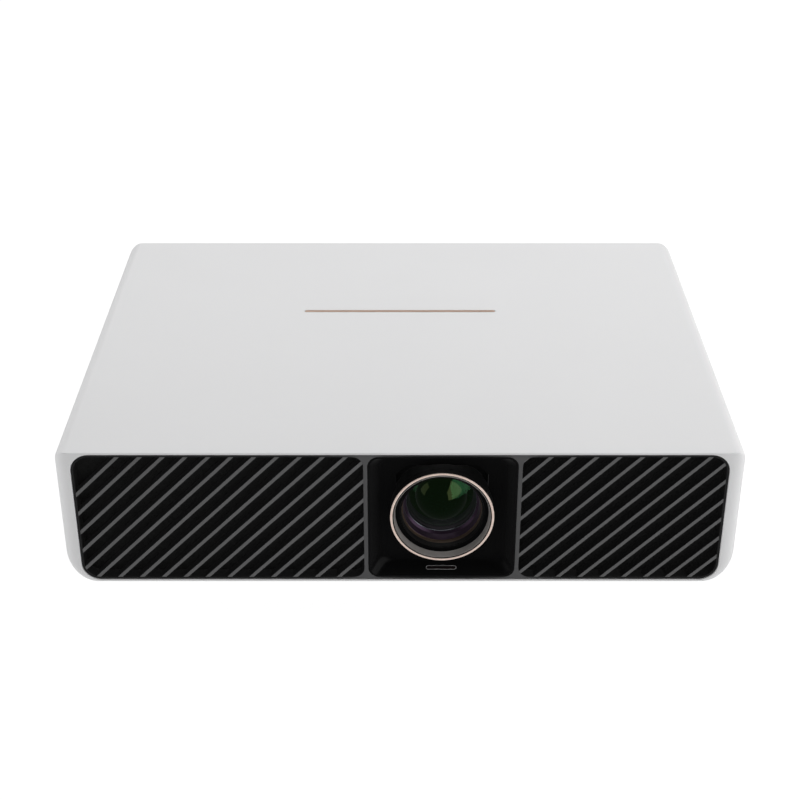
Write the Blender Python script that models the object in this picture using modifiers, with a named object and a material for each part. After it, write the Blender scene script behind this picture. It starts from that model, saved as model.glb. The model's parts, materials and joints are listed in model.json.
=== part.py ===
"""Home projector: a low white box with a louvred front, a lens in a dish, optics, cooling and boards.

Metres. The front faces -Y, +X is to the right seen from the front, +Z is up.
The origin is on the standing surface, under the middle of the body.
"""

import math

import bmesh
import bpy
from mathutils import Matrix

# Overall body
BODY_W = 0.4040
BODY_D = 0.3046
BODY_H = 0.0911
FOOT_H = 0.0080
BODY_TOP_R = 0.0080
BODY_BOTTOM_R = 0.0190
BODY_PLAN_R = 0.0090
SHELL_WALL = 0.0022
GAP = 0.0003
END_SLACK = 0.00001

# Front frame, its mullions and its three cells
FRAME_SIDE_MARGIN = 0.01025
FRAME_TOP_LIP = 0.0014
FRAME_BOTTOM_LIP = 0.0022
FRAME_R = 0.0110
FRAME_DEPTH = 0.0120
FRAME_BORDER = 0.0013
FRAME_RECESS = 0.0004
MULLION_W = 0.0024
CELL_R = 0.0065

# Louvre ribs
RIB_PITCH = 0.00938
RIB_W = 0.0024
RIB_DEPTH = 0.0095
RIB_ANGLE = math.radians(45)
RIB_OFFSET = 0.0061
LAST_RIB = 0.1900
RIM_W = 0.0030
RIM_T = 0.0020

# Dished lens surround
LENS_X = 0.0250
LENS_RISE = 0.00035
DISH_RIM_W = 0.0008
DISH_SIDE_SLOPE = 0.0060
DISH_END_SLOPE = 0.0040
DISH_DEPTH = 0.0110
DISH_WALL = 0.0012
DISH_FLOOR_EDGE = 0.0010
COLLAR_WALL = 0.0014
COLLAR_DEPTH = 0.0050
WINDOW_L = 0.0190
WINDOW_W = 0.0034
WINDOW_T = 0.0011

# Lens barrel, from the outside in
BARREL_GAP = 0.0051
TRIM_RING_W = 0.0018
TRIM_RING_L = 0.0050
TRIM_RING_RECESS = 0.0006
BARREL_WALL = 0.0055
CONE_L = 0.0048
CONE_STEP = 0.0024
FRONT_TUBE_L = 0.0400
REAR_TUBE_STEP = 0.0034
REAR_TUBE_WALL = 0.0050
REAR_TUBE_L = 0.0280
FLANGE_H = 0.0600
FLANGE_T = 0.0030
CELL_START = 0.0060
CELL_L = 0.0280
HOOD_L = 0.0102
HOOD_LIP = 0.0005
HOOD_TAPER = 0.0011
RETAINER_W = 0.0019
RETAINER_T = 0.0020
FRONT_LENS_EDGE_T = 0.0060
FRONT_LENS_SAG = 0.0112
SMALL_LENS_EDGE_T = 0.0040
SMALL_LENS_SAG = 0.0014
LENS_SEAT_W = 0.0025

# Focus drive
GEAR_MODULE = 0.0014
TOOTH_ADDENDUM = 1.0
TOOTH_DEDENDUM = 1.25
TOOTH_ROOT_SHARE = 0.30
TOOTH_TIP_SHARE = 0.12
RING_WALL = 0.0020
PINION_TEETH = 10
GEAR_FACE = 0.0080
GEAR_CLEARANCE = 0.0011
MOTOR_R = 0.0075
MOTOR_L = 0.0160
MOTOR_SHAFT_R = 0.0010
MOTOR_SHAFT_L = 0.0060
MOTOR_STAY_R = 0.0030

# Optical engine and light source
ENGINE_W = 0.1100
ENGINE_L = 0.0800
ENGINE_H = 0.0620
ENGINE_WALL = 0.0025
ENGINE_EDGE = 0.0006
PRISM_SIZE = 0.0260
PRISM_SETBACK = 0.0060
LASER_W = 0.0420
LASER_L = 0.0600
LASER_H = 0.0480
LASER_EDGE = 0.0010
SINK_W = 0.0420
SINK_FINS = 12
SINK_FIN_T = 0.0012
SINK_BASE_T = 0.0045
WHEEL_R = 0.0220
WHEEL_T = 0.0010
WHEEL_HUB_R = 0.0060
WHEEL_HUB_L = 0.0040
WHEEL_MOTOR_R = 0.0090
WHEEL_MOTOR_L = 0.0140
WHEEL_ARM_T = 0.0060
WHEEL_SIDE_GAP = 0.0060
WHEEL_SETBACK = 0.0240

# Fans
FAN_CLEARANCE = 0.0030
FAN_WALL = 0.0020
FAN_T = 0.0250
FAN_CORNER_R = 0.0040
FAN_TIP_CLEARANCE = 0.0015
FAN_HUB_R = 0.0160
FAN_BASE_T = 0.0030
FAN_STRUT_W = 0.0040
FAN_BLADES = 7
FAN_BLADE_T = 0.0016
FAN_BLADE_CHORD = 0.0150
FAN_BLADE_TWIST = math.radians(38)
FAN_SETBACK = 0.0180
FAN_SIDE_CLEARANCE = 0.0040

# Boards
BOARD_T = 0.0016
MAIN_BOARD_Z = 0.0330
MAIN_BOARD_W = 0.1280
MAIN_BOARD_L = 0.0850
MAIN_BOARD_X = -0.0200
SUPPLY_BOARD_Z = 0.0180
SUPPLY_BOARD_W = 0.0750
SUPPLY_BOARD_L = 0.1300
SUPPLY_BOARD_MARGIN = 0.0120
TRANSFORMER_SIZE = (0.0340, 0.0300, 0.0260)
TRANSFORMER_EDGE = 0.0015
STANDOFF_R = 0.0030
STANDOFF_INSET = 0.0050

# Rear panel and what it carries
REAR_RECESS = 0.0015
REAR_T = 0.0025
PORT_CLEARANCE = 0.0004
PORT_PLATE_LEFT = -0.0740
PORT_PLATE_RIGHT = 0.0430
PORT_PLATE_MARGIN = 0.0045
PORT_PLATE_R = 0.0020
LAN_X = -0.0620
HDMI_XS = (-0.0400, -0.0200)
USB_XS = (0.0000, 0.0180)
AUDIO_X = 0.0340
KEYPAD_X = 0.0680
KEYPAD_Z = 0.0520
KEY_SPACING = 0.0120
POWER_KEY_OFFSET = 0.0270
KEY_R = 0.0042
POWER_KEY_R = 0.0055
KEY_EDGE = 0.0004
KEY_TRAVEL = 0.0008
KEY_PROUD = 0.0010
KEY_FLANGE_W = 0.0012
KEY_FLANGE_T = 0.0010
KEY_STEM_R = 0.0015
KEY_STEM_L = 0.0030
KEY_BOARD_MARGIN = 0.0020
SPEAKER_INSET = 0.0620
SPEAKER_R = 0.0240
SPEAKER_L = 0.0240
SPEAKER_MAGNET_R = 0.0165
SPEAKER_CONE_R = 0.0192
SPEAKER_CAP_R = 0.0072
SPEAKER_CAP_DEPTH = 0.0045
SPEAKER_CONE_DEPTH = 0.0062
SPEAKER_SURROUND_DEPTH = 0.0020
SPEAKER_RIM_T = 0.0030
SPEAKER_BASKET_L = 0.0110
SLOT_W = 0.0024
SLOT_PITCH = 0.0062
SLOT_COUNT = 7
SLOT_EDGE = 0.0020

# Sockets: outer width, outer height and length, then the mouth's width, height and depth
HDMI_SIZE = (0.0150, 0.0065, 0.0115)
HDMI_MOUTH = (0.0139, 0.0046, 0.0090)
USB_SIZE = (0.0144, 0.0072, 0.0140)
USB_MOUTH = (0.0126, 0.0052, 0.0120)
LAN_SIZE = (0.0160, 0.0135, 0.0160)
LAN_MOUTH = (0.0118, 0.0084, 0.0120)
AUDIO_SIZE = (0.0090, 0.0072, 0.0120)
AUDIO_NOSE_R = 0.0032
AUDIO_BORE_R = 0.0018
INLET_SIZE = (0.0275, 0.0200, 0.0190)
INLET_MOUTH = (0.0244, 0.0169, 0.0160)
INLET_R = 0.0030
INLET_Z = 0.0520
INLET_SPEAKER_GAP = 0.0050
PIN_SIZE = (0.0020, 0.0110, 0.0040)
PIN_SPREAD = 0.0070
PIN_EARTH_RISE = 0.0030

# Underside
BASE_MARGIN_X = 0.0195
BASE_MARGIN_Y = 0.0180
BASE_T = 0.0025
BASE_R = 0.0080
FOOT_X_INSET = 0.0500
REAR_FOOT_INSET = 0.0420
FOOT_R = 0.0110
PAD_R = 0.0105
PAD_T = 0.0030
PAD_EDGE = 0.0008
FOOT_WHEEL_T = 0.0042
STUD_R = 0.0040
STUD_L = 0.0180
FOOT_BOSS_R = 0.0070
FOOT_BOSS_L = 0.0210
SCREW_HEAD_R = 0.0030
SCREW_HEAD_T = 0.0018
SCREW_SUNK = 0.0006
SCREW_R = 0.0015
SCREW_L = 0.0140
SCREW_DRIVE_R = 0.0014
SCREW_DRIVE_DEPTH = 0.0010
SCREW_BOSS_R = 0.0050
SCREW_BOSS_L = 0.0060
POST_R = 0.0042
POST_INSET_X = 0.0255
REAR_POST_INSET_Y = 0.0250
VENT_X = 0.1300
VENT_Y = -0.0200
VENT_L = 0.0600
VENT_W = 0.0036
VENT_PITCH = 0.0090
VENT_COUNT = 6

# Accent bar let into the top
ACCENT_L = 0.1300
ACCENT_W = 0.0026
ACCENT_T = 0.0010
ACCENT_Y = 0.0355

# Places and sizes worked out from the values above
FRONT_Y = -BODY_D / 2
BACK_Y = BODY_D / 2
BASE_Z = FOOT_H
TOP_Z = FOOT_H + BODY_H
FLOOR_Z = BASE_Z + BASE_T
ROOF_Z = TOP_Z - SHELL_WALL
INSIDE_Z = (FLOOR_Z + ROOF_Z) / 2
FRAME_W = BODY_W - 2 * FRAME_SIDE_MARGIN
FRAME_H = BODY_H - FRAME_TOP_LIP - FRAME_BOTTOM_LIP
FRAME_Z = BASE_Z + FRAME_BOTTOM_LIP + FRAME_H / 2
FRAME_Y = FRONT_Y + FRAME_RECESS
CELL_H = FRAME_H - 2 * FRAME_BORDER
LENS_Z = FRAME_Z + LENS_RISE
APERTURE_R = CELL_H / 2 - GAP - DISH_RIM_W - DISH_END_SLOPE - DISH_FLOOR_EDGE - LENS_RISE
DISH_W = 2 * (APERTURE_R + DISH_FLOOR_EDGE + DISH_SIDE_SLOPE + DISH_RIM_W)
DISH_H = CELL_H - 2 * GAP
CELL_LEFT = -FRAME_W / 2 + FRAME_BORDER
CELL_RIGHT = FRAME_W / 2 - FRAME_BORDER
LENS_CELL_LEFT = LENS_X - DISH_W / 2 - GAP
LENS_CELL_RIGHT = LENS_X + DISH_W / 2 + GAP
GRILLE_Y = FRAME_Y + RIB_DEPTH / 2

BARREL_R = APERTURE_R - BARREL_GAP
TUBE_BORE_R = BARREL_R - BARREL_WALL
TUBE_BORE_END = TRIM_RING_RECESS + FRONT_TUBE_L - REAR_TUBE_WALL
TUBE_STEP_DEPTH = TRIM_RING_RECESS + FRONT_TUBE_L
TUBE_END = TUBE_STEP_DEPTH + REAR_TUBE_L
REAR_TUBE_R = TUBE_BORE_R - REAR_TUBE_STEP
REAR_BORE_R = REAR_TUBE_R - REAR_TUBE_WALL
CELL_OUTER_R = TUBE_BORE_R - GAP
RETAINER_DEPTH = CELL_START + HOOD_L + GAP
RETAINER_R = CELL_OUTER_R - HOOD_LIP - HOOD_TAPER - 2 * GAP
FRONT_LENS_R = RETAINER_R - 2 * GAP
FRONT_LENS_DEPTH = RETAINER_DEPTH + RETAINER_T + 2 * GAP

RING_TEETH = 2 * math.ceil((BARREL_R + GAP + RING_WALL) / GEAR_MODULE + TOOTH_DEDENDUM)
GEAR_DISTANCE = GEAR_MODULE * (RING_TEETH + PINION_TEETH) / 2 + GAP
PINION_X = LENS_X - GEAR_DISTANCE
GEAR_START = FRAME_RECESS + DISH_DEPTH + COLLAR_DEPTH + GEAR_CLEARANCE
MOTOR_START = GEAR_START + GEAR_FACE + 5 * GAP
FLANGE_W = 2 * (GEAR_DISTANCE + MOTOR_R)
FLANGE_START = TUBE_END - FLANGE_T

ENGINE_FRONT_Y = FRONT_Y + TUBE_END + GAP
ENGINE_Y = ENGINE_FRONT_Y + ENGINE_L / 2
ENGINE_BASE_Z = LENS_Z - ENGINE_H / 2
ENGINE_LEFT = LENS_X - ENGINE_W / 2
ENGINE_RIGHT = LENS_X + ENGINE_W / 2
WHEEL_X = ENGINE_LEFT - WHEEL_SIDE_GAP - WHEEL_R
WHEEL_Y = ENGINE_FRONT_Y + WHEEL_SETBACK

FAN_SIZE = ROOF_Z - FLOOR_Z - 2 * FAN_CLEARANCE
FAN_BORE_R = FAN_SIZE / 2 - FAN_WALL
FAN_Y = FRONT_Y + FAN_SETBACK + FAN_T / 2
FAN_BACK_Y = FRONT_Y + FAN_SETBACK + FAN_T
INTAKE_FAN_X = (CELL_LEFT + LENS_CELL_LEFT - MULLION_W) / 2
EXHAUST_FAN_X = (CELL_RIGHT + LENS_CELL_RIGHT + MULLION_W) / 2

REAR_FACE_Y = BACK_Y - REAR_RECESS
REAR_INNER_Y = REAR_FACE_Y - REAR_T
SOCKET_Z = MAIN_BOARD_Z + BOARD_T + GAP
MAIN_BOARD_Y = REAR_INNER_Y - GAP - MAIN_BOARD_L / 2
SPEAKER_X = BODY_W / 2 - SPEAKER_INSET
INLET_X = -SPEAKER_X + SPEAKER_R + INLET_SPEAKER_GAP + INLET_SIZE[0] / 2
KEY_BOARD_Y = REAR_INNER_Y - KEY_FLANGE_T - KEY_STEM_L - KEY_TRAVEL - 2 * GAP - BOARD_T / 2

FOOT_X = BODY_W / 2 - FOOT_X_INSET
FRONT_FOOT_Y = FAN_BACK_Y + FAN_SIDE_CLEARANCE + FOOT_BOSS_R
REAR_FOOT_Y = BACK_Y - REAR_FOOT_INSET
POST_X = BODY_W / 2 - POST_INSET_X
POST_YS = (FAN_BACK_Y + FAN_SIDE_CLEARANCE + POST_R, BACK_Y - REAR_POST_INSET_Y)
POST_END_Z = BASE_Z + SCREW_BOSS_L + GAP
BASE_W = BODY_W - 2 * BASE_MARGIN_X
BASE_D = BODY_D - 2 * BASE_MARGIN_Y
SUPPLY_BOARD_X = -BODY_W / 2 + SHELL_WALL + SUPPLY_BOARD_MARGIN + SUPPLY_BOARD_W / 2
SUPPLY_BOARD_Y = FRONT_FOOT_Y + FOOT_BOSS_R + FAN_SIDE_CLEARANCE + SUPPLY_BOARD_L / 2

# Colour, roughness and metallic value of each finish
FINISHES = {
    "white_shell": ((0.80, 0.80, 0.81), 0.45, 0.0),
    "grey_paint": ((0.095, 0.095, 0.100), 0.42, 0.3),
    "dark_grey": ((0.030, 0.030, 0.032), 0.50, 0.0),
    "gloss_black": ((0.010, 0.010, 0.011), 0.12, 0.0),
    "matt_black": ((0.015, 0.015, 0.016), 0.65, 0.0),
    "rose_gold": ((0.78, 0.53, 0.44), 0.25, 1.0),
    "bronze": ((0.110, 0.075, 0.070), 0.35, 0.6),
    "coated_glass": ((0.10, 0.16, 0.20), 0.03, 0.0),
    "clear_glass": ((0.70, 0.75, 0.78), 0.03, 0.0),
    "infrared_window": ((0.030, 0.010, 0.012), 0.10, 0.0),
    "die_cast": ((0.36, 0.37, 0.38), 0.45, 0.9),
    "aluminium": ((0.62, 0.63, 0.64), 0.35, 1.0),
    "steel": ((0.50, 0.50, 0.51), 0.30, 1.0),
    "board_green": ((0.020, 0.120, 0.055), 0.40, 0.0),
    "board_brown": ((0.200, 0.120, 0.050), 0.50, 0.0),
    "phosphor": ((0.75, 0.68, 0.18), 0.45, 0.2),
    "copper": ((0.62, 0.30, 0.16), 0.35, 0.9),
    "white_nylon": ((0.70, 0.69, 0.64), 0.50, 0.0),
    "rubber": ((0.018, 0.018, 0.018), 0.85, 0.0),
    "paper_cone": ((0.050, 0.050, 0.052), 0.75, 0.0),
}

FLAT = (0, 0, 0)
FRONT_VIEW = (math.pi / 2, 0, 0)
REAR_VIEW = (-math.pi / 2, 0, 0)
ROUND_STEPS = 24
LENS_STEPS = 32


# Scene, collections and materials


def clear_scene():
    for obj in list(bpy.data.objects):
        bpy.data.objects.remove(obj, do_unlink=True)


def new_collection(name):
    collection = bpy.data.collections.new(name)
    bpy.context.scene.collection.children.link(collection)
    return collection


clear_scene()
PARTS = new_collection("home_projector")
CUTTERS = new_collection("cutters")


def give_finish(obj, finish):
    """Gives the object a material of its own, named after it."""
    colour, roughness, metallic = FINISHES[finish]
    material = bpy.data.materials.new(obj.name)
    material.use_nodes = True
    shader = material.node_tree.nodes["Principled BSDF"]
    shader.inputs["Base Color"].default_value = (*colour, 1)
    shader.inputs["Roughness"].default_value = roughness
    shader.inputs["Metallic"].default_value = metallic
    material.diffuse_color = (*colour, 1)
    obj.data.materials.clear()
    obj.data.materials.append(material)


def place(name, mesh, location=(0, 0, 0), finish=None, rotation=FLAT):
    """Links a mesh as a part when it has a finish, and as a cutter when it has none."""
    obj = bpy.data.objects.new(name, mesh)
    obj.location = location
    obj.rotation_euler = rotation
    if finish is None:
        CUTTERS.objects.link(obj)
        obj.hide_render = True
        obj.display_type = "WIRE"
    else:
        PARTS.objects.link(obj)
        give_finish(obj, finish)
    return obj


# Basic shapes


def add_box(bm, size, centre=(0, 0, 0), turn=None):
    matrix = Matrix.Translation(centre) @ (turn or Matrix()) @ Matrix.Diagonal((*size, 1))
    bmesh.ops.create_cube(bm, size=1, matrix=matrix)


def add_rod(bm, radius, length, centre=(0, 0, 0), axis="Z", steps=ROUND_STEPS):
    turn = {"X": Matrix.Rotation(math.pi / 2, 4, "Y"), "Y": Matrix.Rotation(math.pi / 2, 4, "X")}
    bmesh.ops.create_cone(
        bm,
        cap_ends=True,
        segments=steps,
        radius1=radius,
        radius2=radius,
        depth=length,
        matrix=Matrix.Translation(centre) @ turn.get(axis, Matrix()),
    )


def finished(name, bm, location=(0, 0, 0), finish=None, rotation=FLAT):
    """Turns a bmesh into an object, smooth where it is round."""
    mesh = bpy.data.meshes.new(name)
    bm.to_mesh(mesh)
    bm.free()
    mesh.shade_smooth()
    mesh.set_sharp_from_angle(angle=math.radians(35))
    return place(name, mesh, location, finish, rotation)


def box(name, size, centre, finish=None, rotation=FLAT, edge=0):
    bm = bmesh.new()
    add_box(bm, size)
    if edge:
        bmesh.ops.bevel(bm, geom=bm.edges, offset=edge, segments=2, profile=0.5, affect="EDGES")
    return finished(name, bm, centre, finish, rotation)


def rod(name, radius, length, centre, finish=None, axis="Z", steps=ROUND_STEPS):
    bm = bmesh.new()
    add_rod(bm, radius, length, (0, 0, 0), axis, steps)
    return finished(name, bm, centre, finish)


def turned(name, profile, location, finish=None, rotation=FLAT, steps=ROUND_STEPS):
    """A closed turned body, from (radius, height) points: down the outer side and back up the inner."""
    mesh = bpy.data.meshes.new(name)
    edges = [(i, i + 1) for i in range(len(profile) - 1)]
    if profile[0][0] > 0:
        edges.append((len(profile) - 1, 0))
    mesh.from_pydata([(radius, 0, height) for radius, height in profile], edges, [])
    obj = place(name, mesh, location, finish, rotation)
    screw = obj.modifiers.new("turn", "SCREW")
    screw.steps = steps
    screw.render_steps = steps
    screw.use_merge_vertices = True
    screw.merge_threshold = 0.00001
    screw.use_smooth_shade = True
    return obj


def lens_turned(name, profile, finish=None, steps=LENS_STEPS):
    """A body turned about the lens axis, from (radius, depth behind the front) points."""
    points = [(radius, -depth) for radius, depth in profile]
    return turned(name, points, (LENS_X, FRONT_Y, LENS_Z), finish, FRONT_VIEW, steps)


def arc(centre, radius, start, end, steps):
    """Points along an arc, in degrees, both ends included."""
    points = []
    for i in range(steps + 1):
        angle = math.radians(start + (end - start) * i / steps)
        points.append((centre[0] + radius * math.cos(angle), centre[1] + radius * math.sin(angle)))
    return points


def circle(radius, centre=(0, 0), steps=ROUND_STEPS):
    return arc(centre, radius, 0, 360, steps)[:-1]


def rounded_rect(width, height, radii, centre=(0, 0), steps=4):
    """A rectangle with a radius at each corner: bottom left, bottom right, top right, top left."""
    if not isinstance(radii, tuple):
        radii = (radii,) * 4
    points = []
    corners = ((-1, -1, 180), (1, -1, 270), (1, 1, 0), (-1, 1, 90))
    for (side_x, side_y, start), radius in zip(corners, radii):
        corner_x = centre[0] + side_x * (width / 2 - radius)
        corner_y = centre[1] + side_y * (height / 2 - radius)
        points += arc((corner_x, corner_y), radius, start, start + 90, steps)
    return points


def rectangle(width, height, centre=(0, 0)):
    x, y = centre
    w, h = width / 2, height / 2
    return [(x - w, y - h), (x + w, y - h), (x + w, y + h), (x - w, y + h)]


def gear_outline(teeth, start=0):
    """Straight-sided teeth, slimmer than the spaces between them by the backlash."""
    root = GEAR_MODULE * (teeth / 2 - TOOTH_DEDENDUM)
    tip = GEAR_MODULE * (teeth / 2 + TOOTH_ADDENDUM)
    wide, narrow = TOOTH_ROOT_SHARE, TOOTH_TIP_SHARE
    points = []
    for tooth in range(teeth):
        for radius, share in ((root, -wide), (tip, -narrow), (tip, narrow), (root, wide)):
            angle = start + (tooth + share) * 2 * math.pi / teeth
            points.append((radius * math.cos(angle), radius * math.sin(angle)))
    return points


def outline(name, loops, thickness, location, finish=None, rotation=FRONT_VIEW):
    """A flat outline, with holes, given a thickness about its plane and made a mesh."""
    curve = bpy.data.curves.new(name, "CURVE")
    curve.dimensions = "2D"
    curve.fill_mode = "BOTH"
    curve.extrude = thickness / 2
    for loop in loops:
        spline = curve.splines.new("POLY")
        spline.points.add(len(loop) - 1)
        for point, (across, up) in zip(spline.points, loop):
            point.co = (across, up, 0, 1)
        spline.use_cyclic_u = True
    guide = bpy.data.objects.new(name + "_outline", curve)
    CUTTERS.objects.link(guide)
    graph = bpy.context.evaluated_depsgraph_get()
    mesh = bpy.data.meshes.new_from_object(guide.evaluated_get(graph))
    bpy.data.objects.remove(guide, do_unlink=True)
    bpy.data.curves.remove(curve)
    bm = bmesh.new()
    bm.from_mesh(mesh)
    bpy.data.meshes.remove(mesh)
    bmesh.ops.remove_doubles(bm, verts=bm.verts, dist=0.000001)
    bmesh.ops.recalc_face_normals(bm, faces=bm.faces)
    return finished(name, bm, location, finish, rotation)


def combine(obj, other, operation="DIFFERENCE"):
    """Cuts, joins or crosses an object with a cutter."""
    boolean = obj.modifiers.new(other.name, "BOOLEAN")
    boolean.operation = operation
    boolean.solver = "EXACT"
    boolean.object = other


def pierced_plate(name, edge, holes, thickness, location, finish, rotation=FRONT_VIEW):
    """A flat plate with every hole cut right through it."""
    plate = outline(name, [edge], thickness, location, finish, rotation)
    combine(plate, outline(name + "_holes", holes, 2 * thickness, location, rotation=rotation))
    return plate


# Outer shell


def body_form(name, inset, finish=None):
    """The body's rounded form at an inset from its outside."""
    bottom_r = BODY_BOTTOM_R - inset
    top_r = max(BODY_TOP_R - inset, inset / 4)
    radii = (bottom_r, bottom_r, top_r, top_r)
    section = rounded_rect(BODY_W - 2 * inset, BODY_H - 2 * inset, radii, steps=6)
    centre = (0, 0, BASE_Z + BODY_H / 2)
    form = outline(name, [section], BODY_D - 2 * inset, centre, finish)
    plan = rounded_rect(BODY_W - 2 * inset, BODY_D - 2 * inset, BODY_PLAN_R - inset)
    corners = outline(name + "_plan", [plan], 2 * BODY_H, centre, rotation=FLAT)
    combine(form, corners, "INTERSECT")
    return form


def post_places():
    return [(x, y) for y in POST_YS for x in (-POST_X, POST_X)]


def outer_shell():
    shell = body_form("outer_shell", 0, "white_shell")
    combine(shell, body_form("shell_inside", SHELL_WALL))

    posts = bmesh.new()
    post_top = TOP_Z - SHELL_WALL / 2
    for x, y in post_places():
        add_rod(posts, POST_R, post_top - POST_END_Z, (x, y, (post_top + POST_END_Z) / 2), steps=16)
    combine(shell, finished("shell_posts", posts), "UNION")

    ends = rounded_rect(FRAME_W + 2 * GAP, FRAME_H + 2 * GAP, FRAME_R + GAP)
    front_end = FRAME_Y + FRAME_DEPTH + GAP
    rear_end = REAR_INNER_Y - GAP
    for name, start, end in (
        ("front_opening", FRONT_Y - SHELL_WALL, front_end),
        ("rear_opening", rear_end, BACK_Y + SHELL_WALL),
    ):
        combine(shell, outline(name, [ends], end - start, (0, (start + end) / 2, FRAME_Z)))

    base = rounded_rect(BASE_W + 2 * GAP, BASE_D + 2 * GAP, BASE_R + GAP)
    base_depth = 2 * (max(BASE_T, SHELL_WALL) + GAP)
    combine(shell, outline("base_opening", [base], base_depth, (0, 0, BASE_Z), rotation=FLAT))

    bores = bmesh.new()
    for x, y in post_places():
        add_rod(bores, SCREW_R + GAP, 2 * SCREW_L, (x, y, POST_END_Z), steps=12)
    combine(shell, finished("post_bores", bores))

    pocket = rounded_rect(ACCENT_L + 2 * GAP, ACCENT_W + 2 * GAP, ACCENT_W / 2 + GAP - END_SLACK)
    pocket_place = (0, ACCENT_Y, TOP_Z)
    combine(shell, outline("accent_pocket", [pocket], 2 * (ACCENT_T + GAP), pocket_place, rotation=FLAT))


def accent_bar():
    bar = rounded_rect(ACCENT_L, ACCENT_W, ACCENT_W / 2 - END_SLACK)
    outline("accent_bar", [bar], ACCENT_T, (0, ACCENT_Y, TOP_Z - ACCENT_T / 2), "rose_gold", FLAT)


# Front frame and grilles


def cell_outline(left, right, radii, inset=0):
    """One of the frame's cells, in the frame's own plane, with each corner's radius."""
    width = right - left - 2 * inset
    radii = tuple(radius - inset for radius in radii)
    return rounded_rect(width, CELL_H - 2 * inset, radii, ((left + right) / 2, 0))


OUTER_CELL_R = FRAME_R - FRAME_BORDER
LEFT_CELL = (CELL_LEFT, LENS_CELL_LEFT - MULLION_W, (OUTER_CELL_R, CELL_R, CELL_R, OUTER_CELL_R))
LENS_CELL = (LENS_CELL_LEFT, LENS_CELL_RIGHT, (CELL_R,) * 4)
RIGHT_CELL = (LENS_CELL_RIGHT + MULLION_W, CELL_RIGHT, (CELL_R, OUTER_CELL_R, OUTER_CELL_R, CELL_R))


def front_frame():
    edge = rounded_rect(FRAME_W, FRAME_H, FRAME_R)
    cells = [cell_outline(*cell) for cell in (LEFT_CELL, LENS_CELL, RIGHT_CELL)]
    centre = (0, FRAME_Y + FRAME_DEPTH / 2, FRAME_Z)
    pierced_plate("front_frame", edge, cells, FRAME_DEPTH, centre, "grey_paint")


def rib_lines(left, right):
    """Distances of the rib centre lines from the origin; the top outer corner on the left has none."""
    reach = (right - left + CELL_H) / 2 * math.sin(RIB_ANGLE) + RIB_W / 2
    middle = -(left + right) / 2 * math.sin(RIB_ANGLE) + FRAME_Z * math.cos(RIB_ANGLE)
    first = math.ceil((middle - reach - RIB_OFFSET) / RIB_PITCH)
    last = math.floor((middle + reach - RIB_OFFSET) / RIB_PITCH)
    lines = [RIB_OFFSET + i * RIB_PITCH for i in range(first, last + 1)]
    return [line for line in lines if line < LAST_RIB]


def grille(name, cell):
    """Slanted ribs that fill a cell, held by a rim behind them."""
    left, right, radii = cell
    centre_x = (left + right) / 2
    along = (math.cos(RIB_ANGLE), math.sin(RIB_ANGLE))
    across = (-math.sin(RIB_ANGLE), math.cos(RIB_ANGLE))
    bm = bmesh.new()
    for distance in rib_lines(left, right):
        slide = centre_x * along[0] + FRAME_Z * along[1]
        x = distance * across[0] + slide * along[0]
        z = distance * across[1] + slide * along[1]
        length = (right - left + CELL_H) * 2
        turn = Matrix.Rotation(-RIB_ANGLE, 4, "Y")
        add_box(bm, (length, RIB_DEPTH, RIB_W), (x, GRILLE_Y, z), turn)
    ribs = finished(name, bm, (0, 0, 0), "dark_grey")
    room = outline(name + "_room", [cell_outline(*cell, GAP)], 2 * RIB_DEPTH, (0, GRILLE_Y, FRAME_Z))
    combine(ribs, room, "INTERSECT")
    loops = [cell_outline(*cell, GAP), cell_outline(*cell, GAP + RIM_W)]
    rim_y = GRILLE_Y + RIB_DEPTH / 2 - RIM_T / 2 + GAP
    combine(ribs, outline(name + "_rim", loops, RIM_T, (0, rim_y, FRAME_Z)), "UNION")


# Lens surround


def dish():
    """An open dish: a flat rim, four sloping sides and a floor, given its wall by Solidify."""
    bm = bmesh.new()
    rim = [bm.verts.new((x, y, 0)) for x, y in rounded_rect(DISH_W, DISH_H, CELL_R - GAP)]
    edges = [bm.edges.new((rim[i - 1], rim[i])) for i in range(len(rim))]
    width, height = DISH_W, DISH_H
    for side, end, depth in (
        (DISH_RIM_W, DISH_RIM_W, 0),
        (DISH_SIDE_SLOPE, DISH_END_SLOPE, DISH_DEPTH),
    ):
        made = bmesh.ops.extrude_edge_only(bm, edges=edges)["geom"]
        loop = [item for item in made if isinstance(item, bmesh.types.BMVert)]
        edges = [item for item in made if isinstance(item, bmesh.types.BMEdge)]
        edges = [edge for edge in edges if all(vert in loop for vert in edge.verts)]
        shrink = ((width - 2 * side) / width, (height - 2 * end) / height, 1)
        bmesh.ops.scale(bm, vec=shrink, verts=loop)
        bmesh.ops.translate(bm, vec=(0, 0, -depth), verts=loop)
        width, height = width - 2 * side, height - 2 * end
    bmesh.ops.contextual_create(bm, geom=edges)
    bmesh.ops.recalc_face_normals(bm, faces=bm.faces)
    if sum(face.normal.z for face in bm.faces) < 0:
        bmesh.ops.reverse_faces(bm, faces=bm.faces)
    return bm


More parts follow.
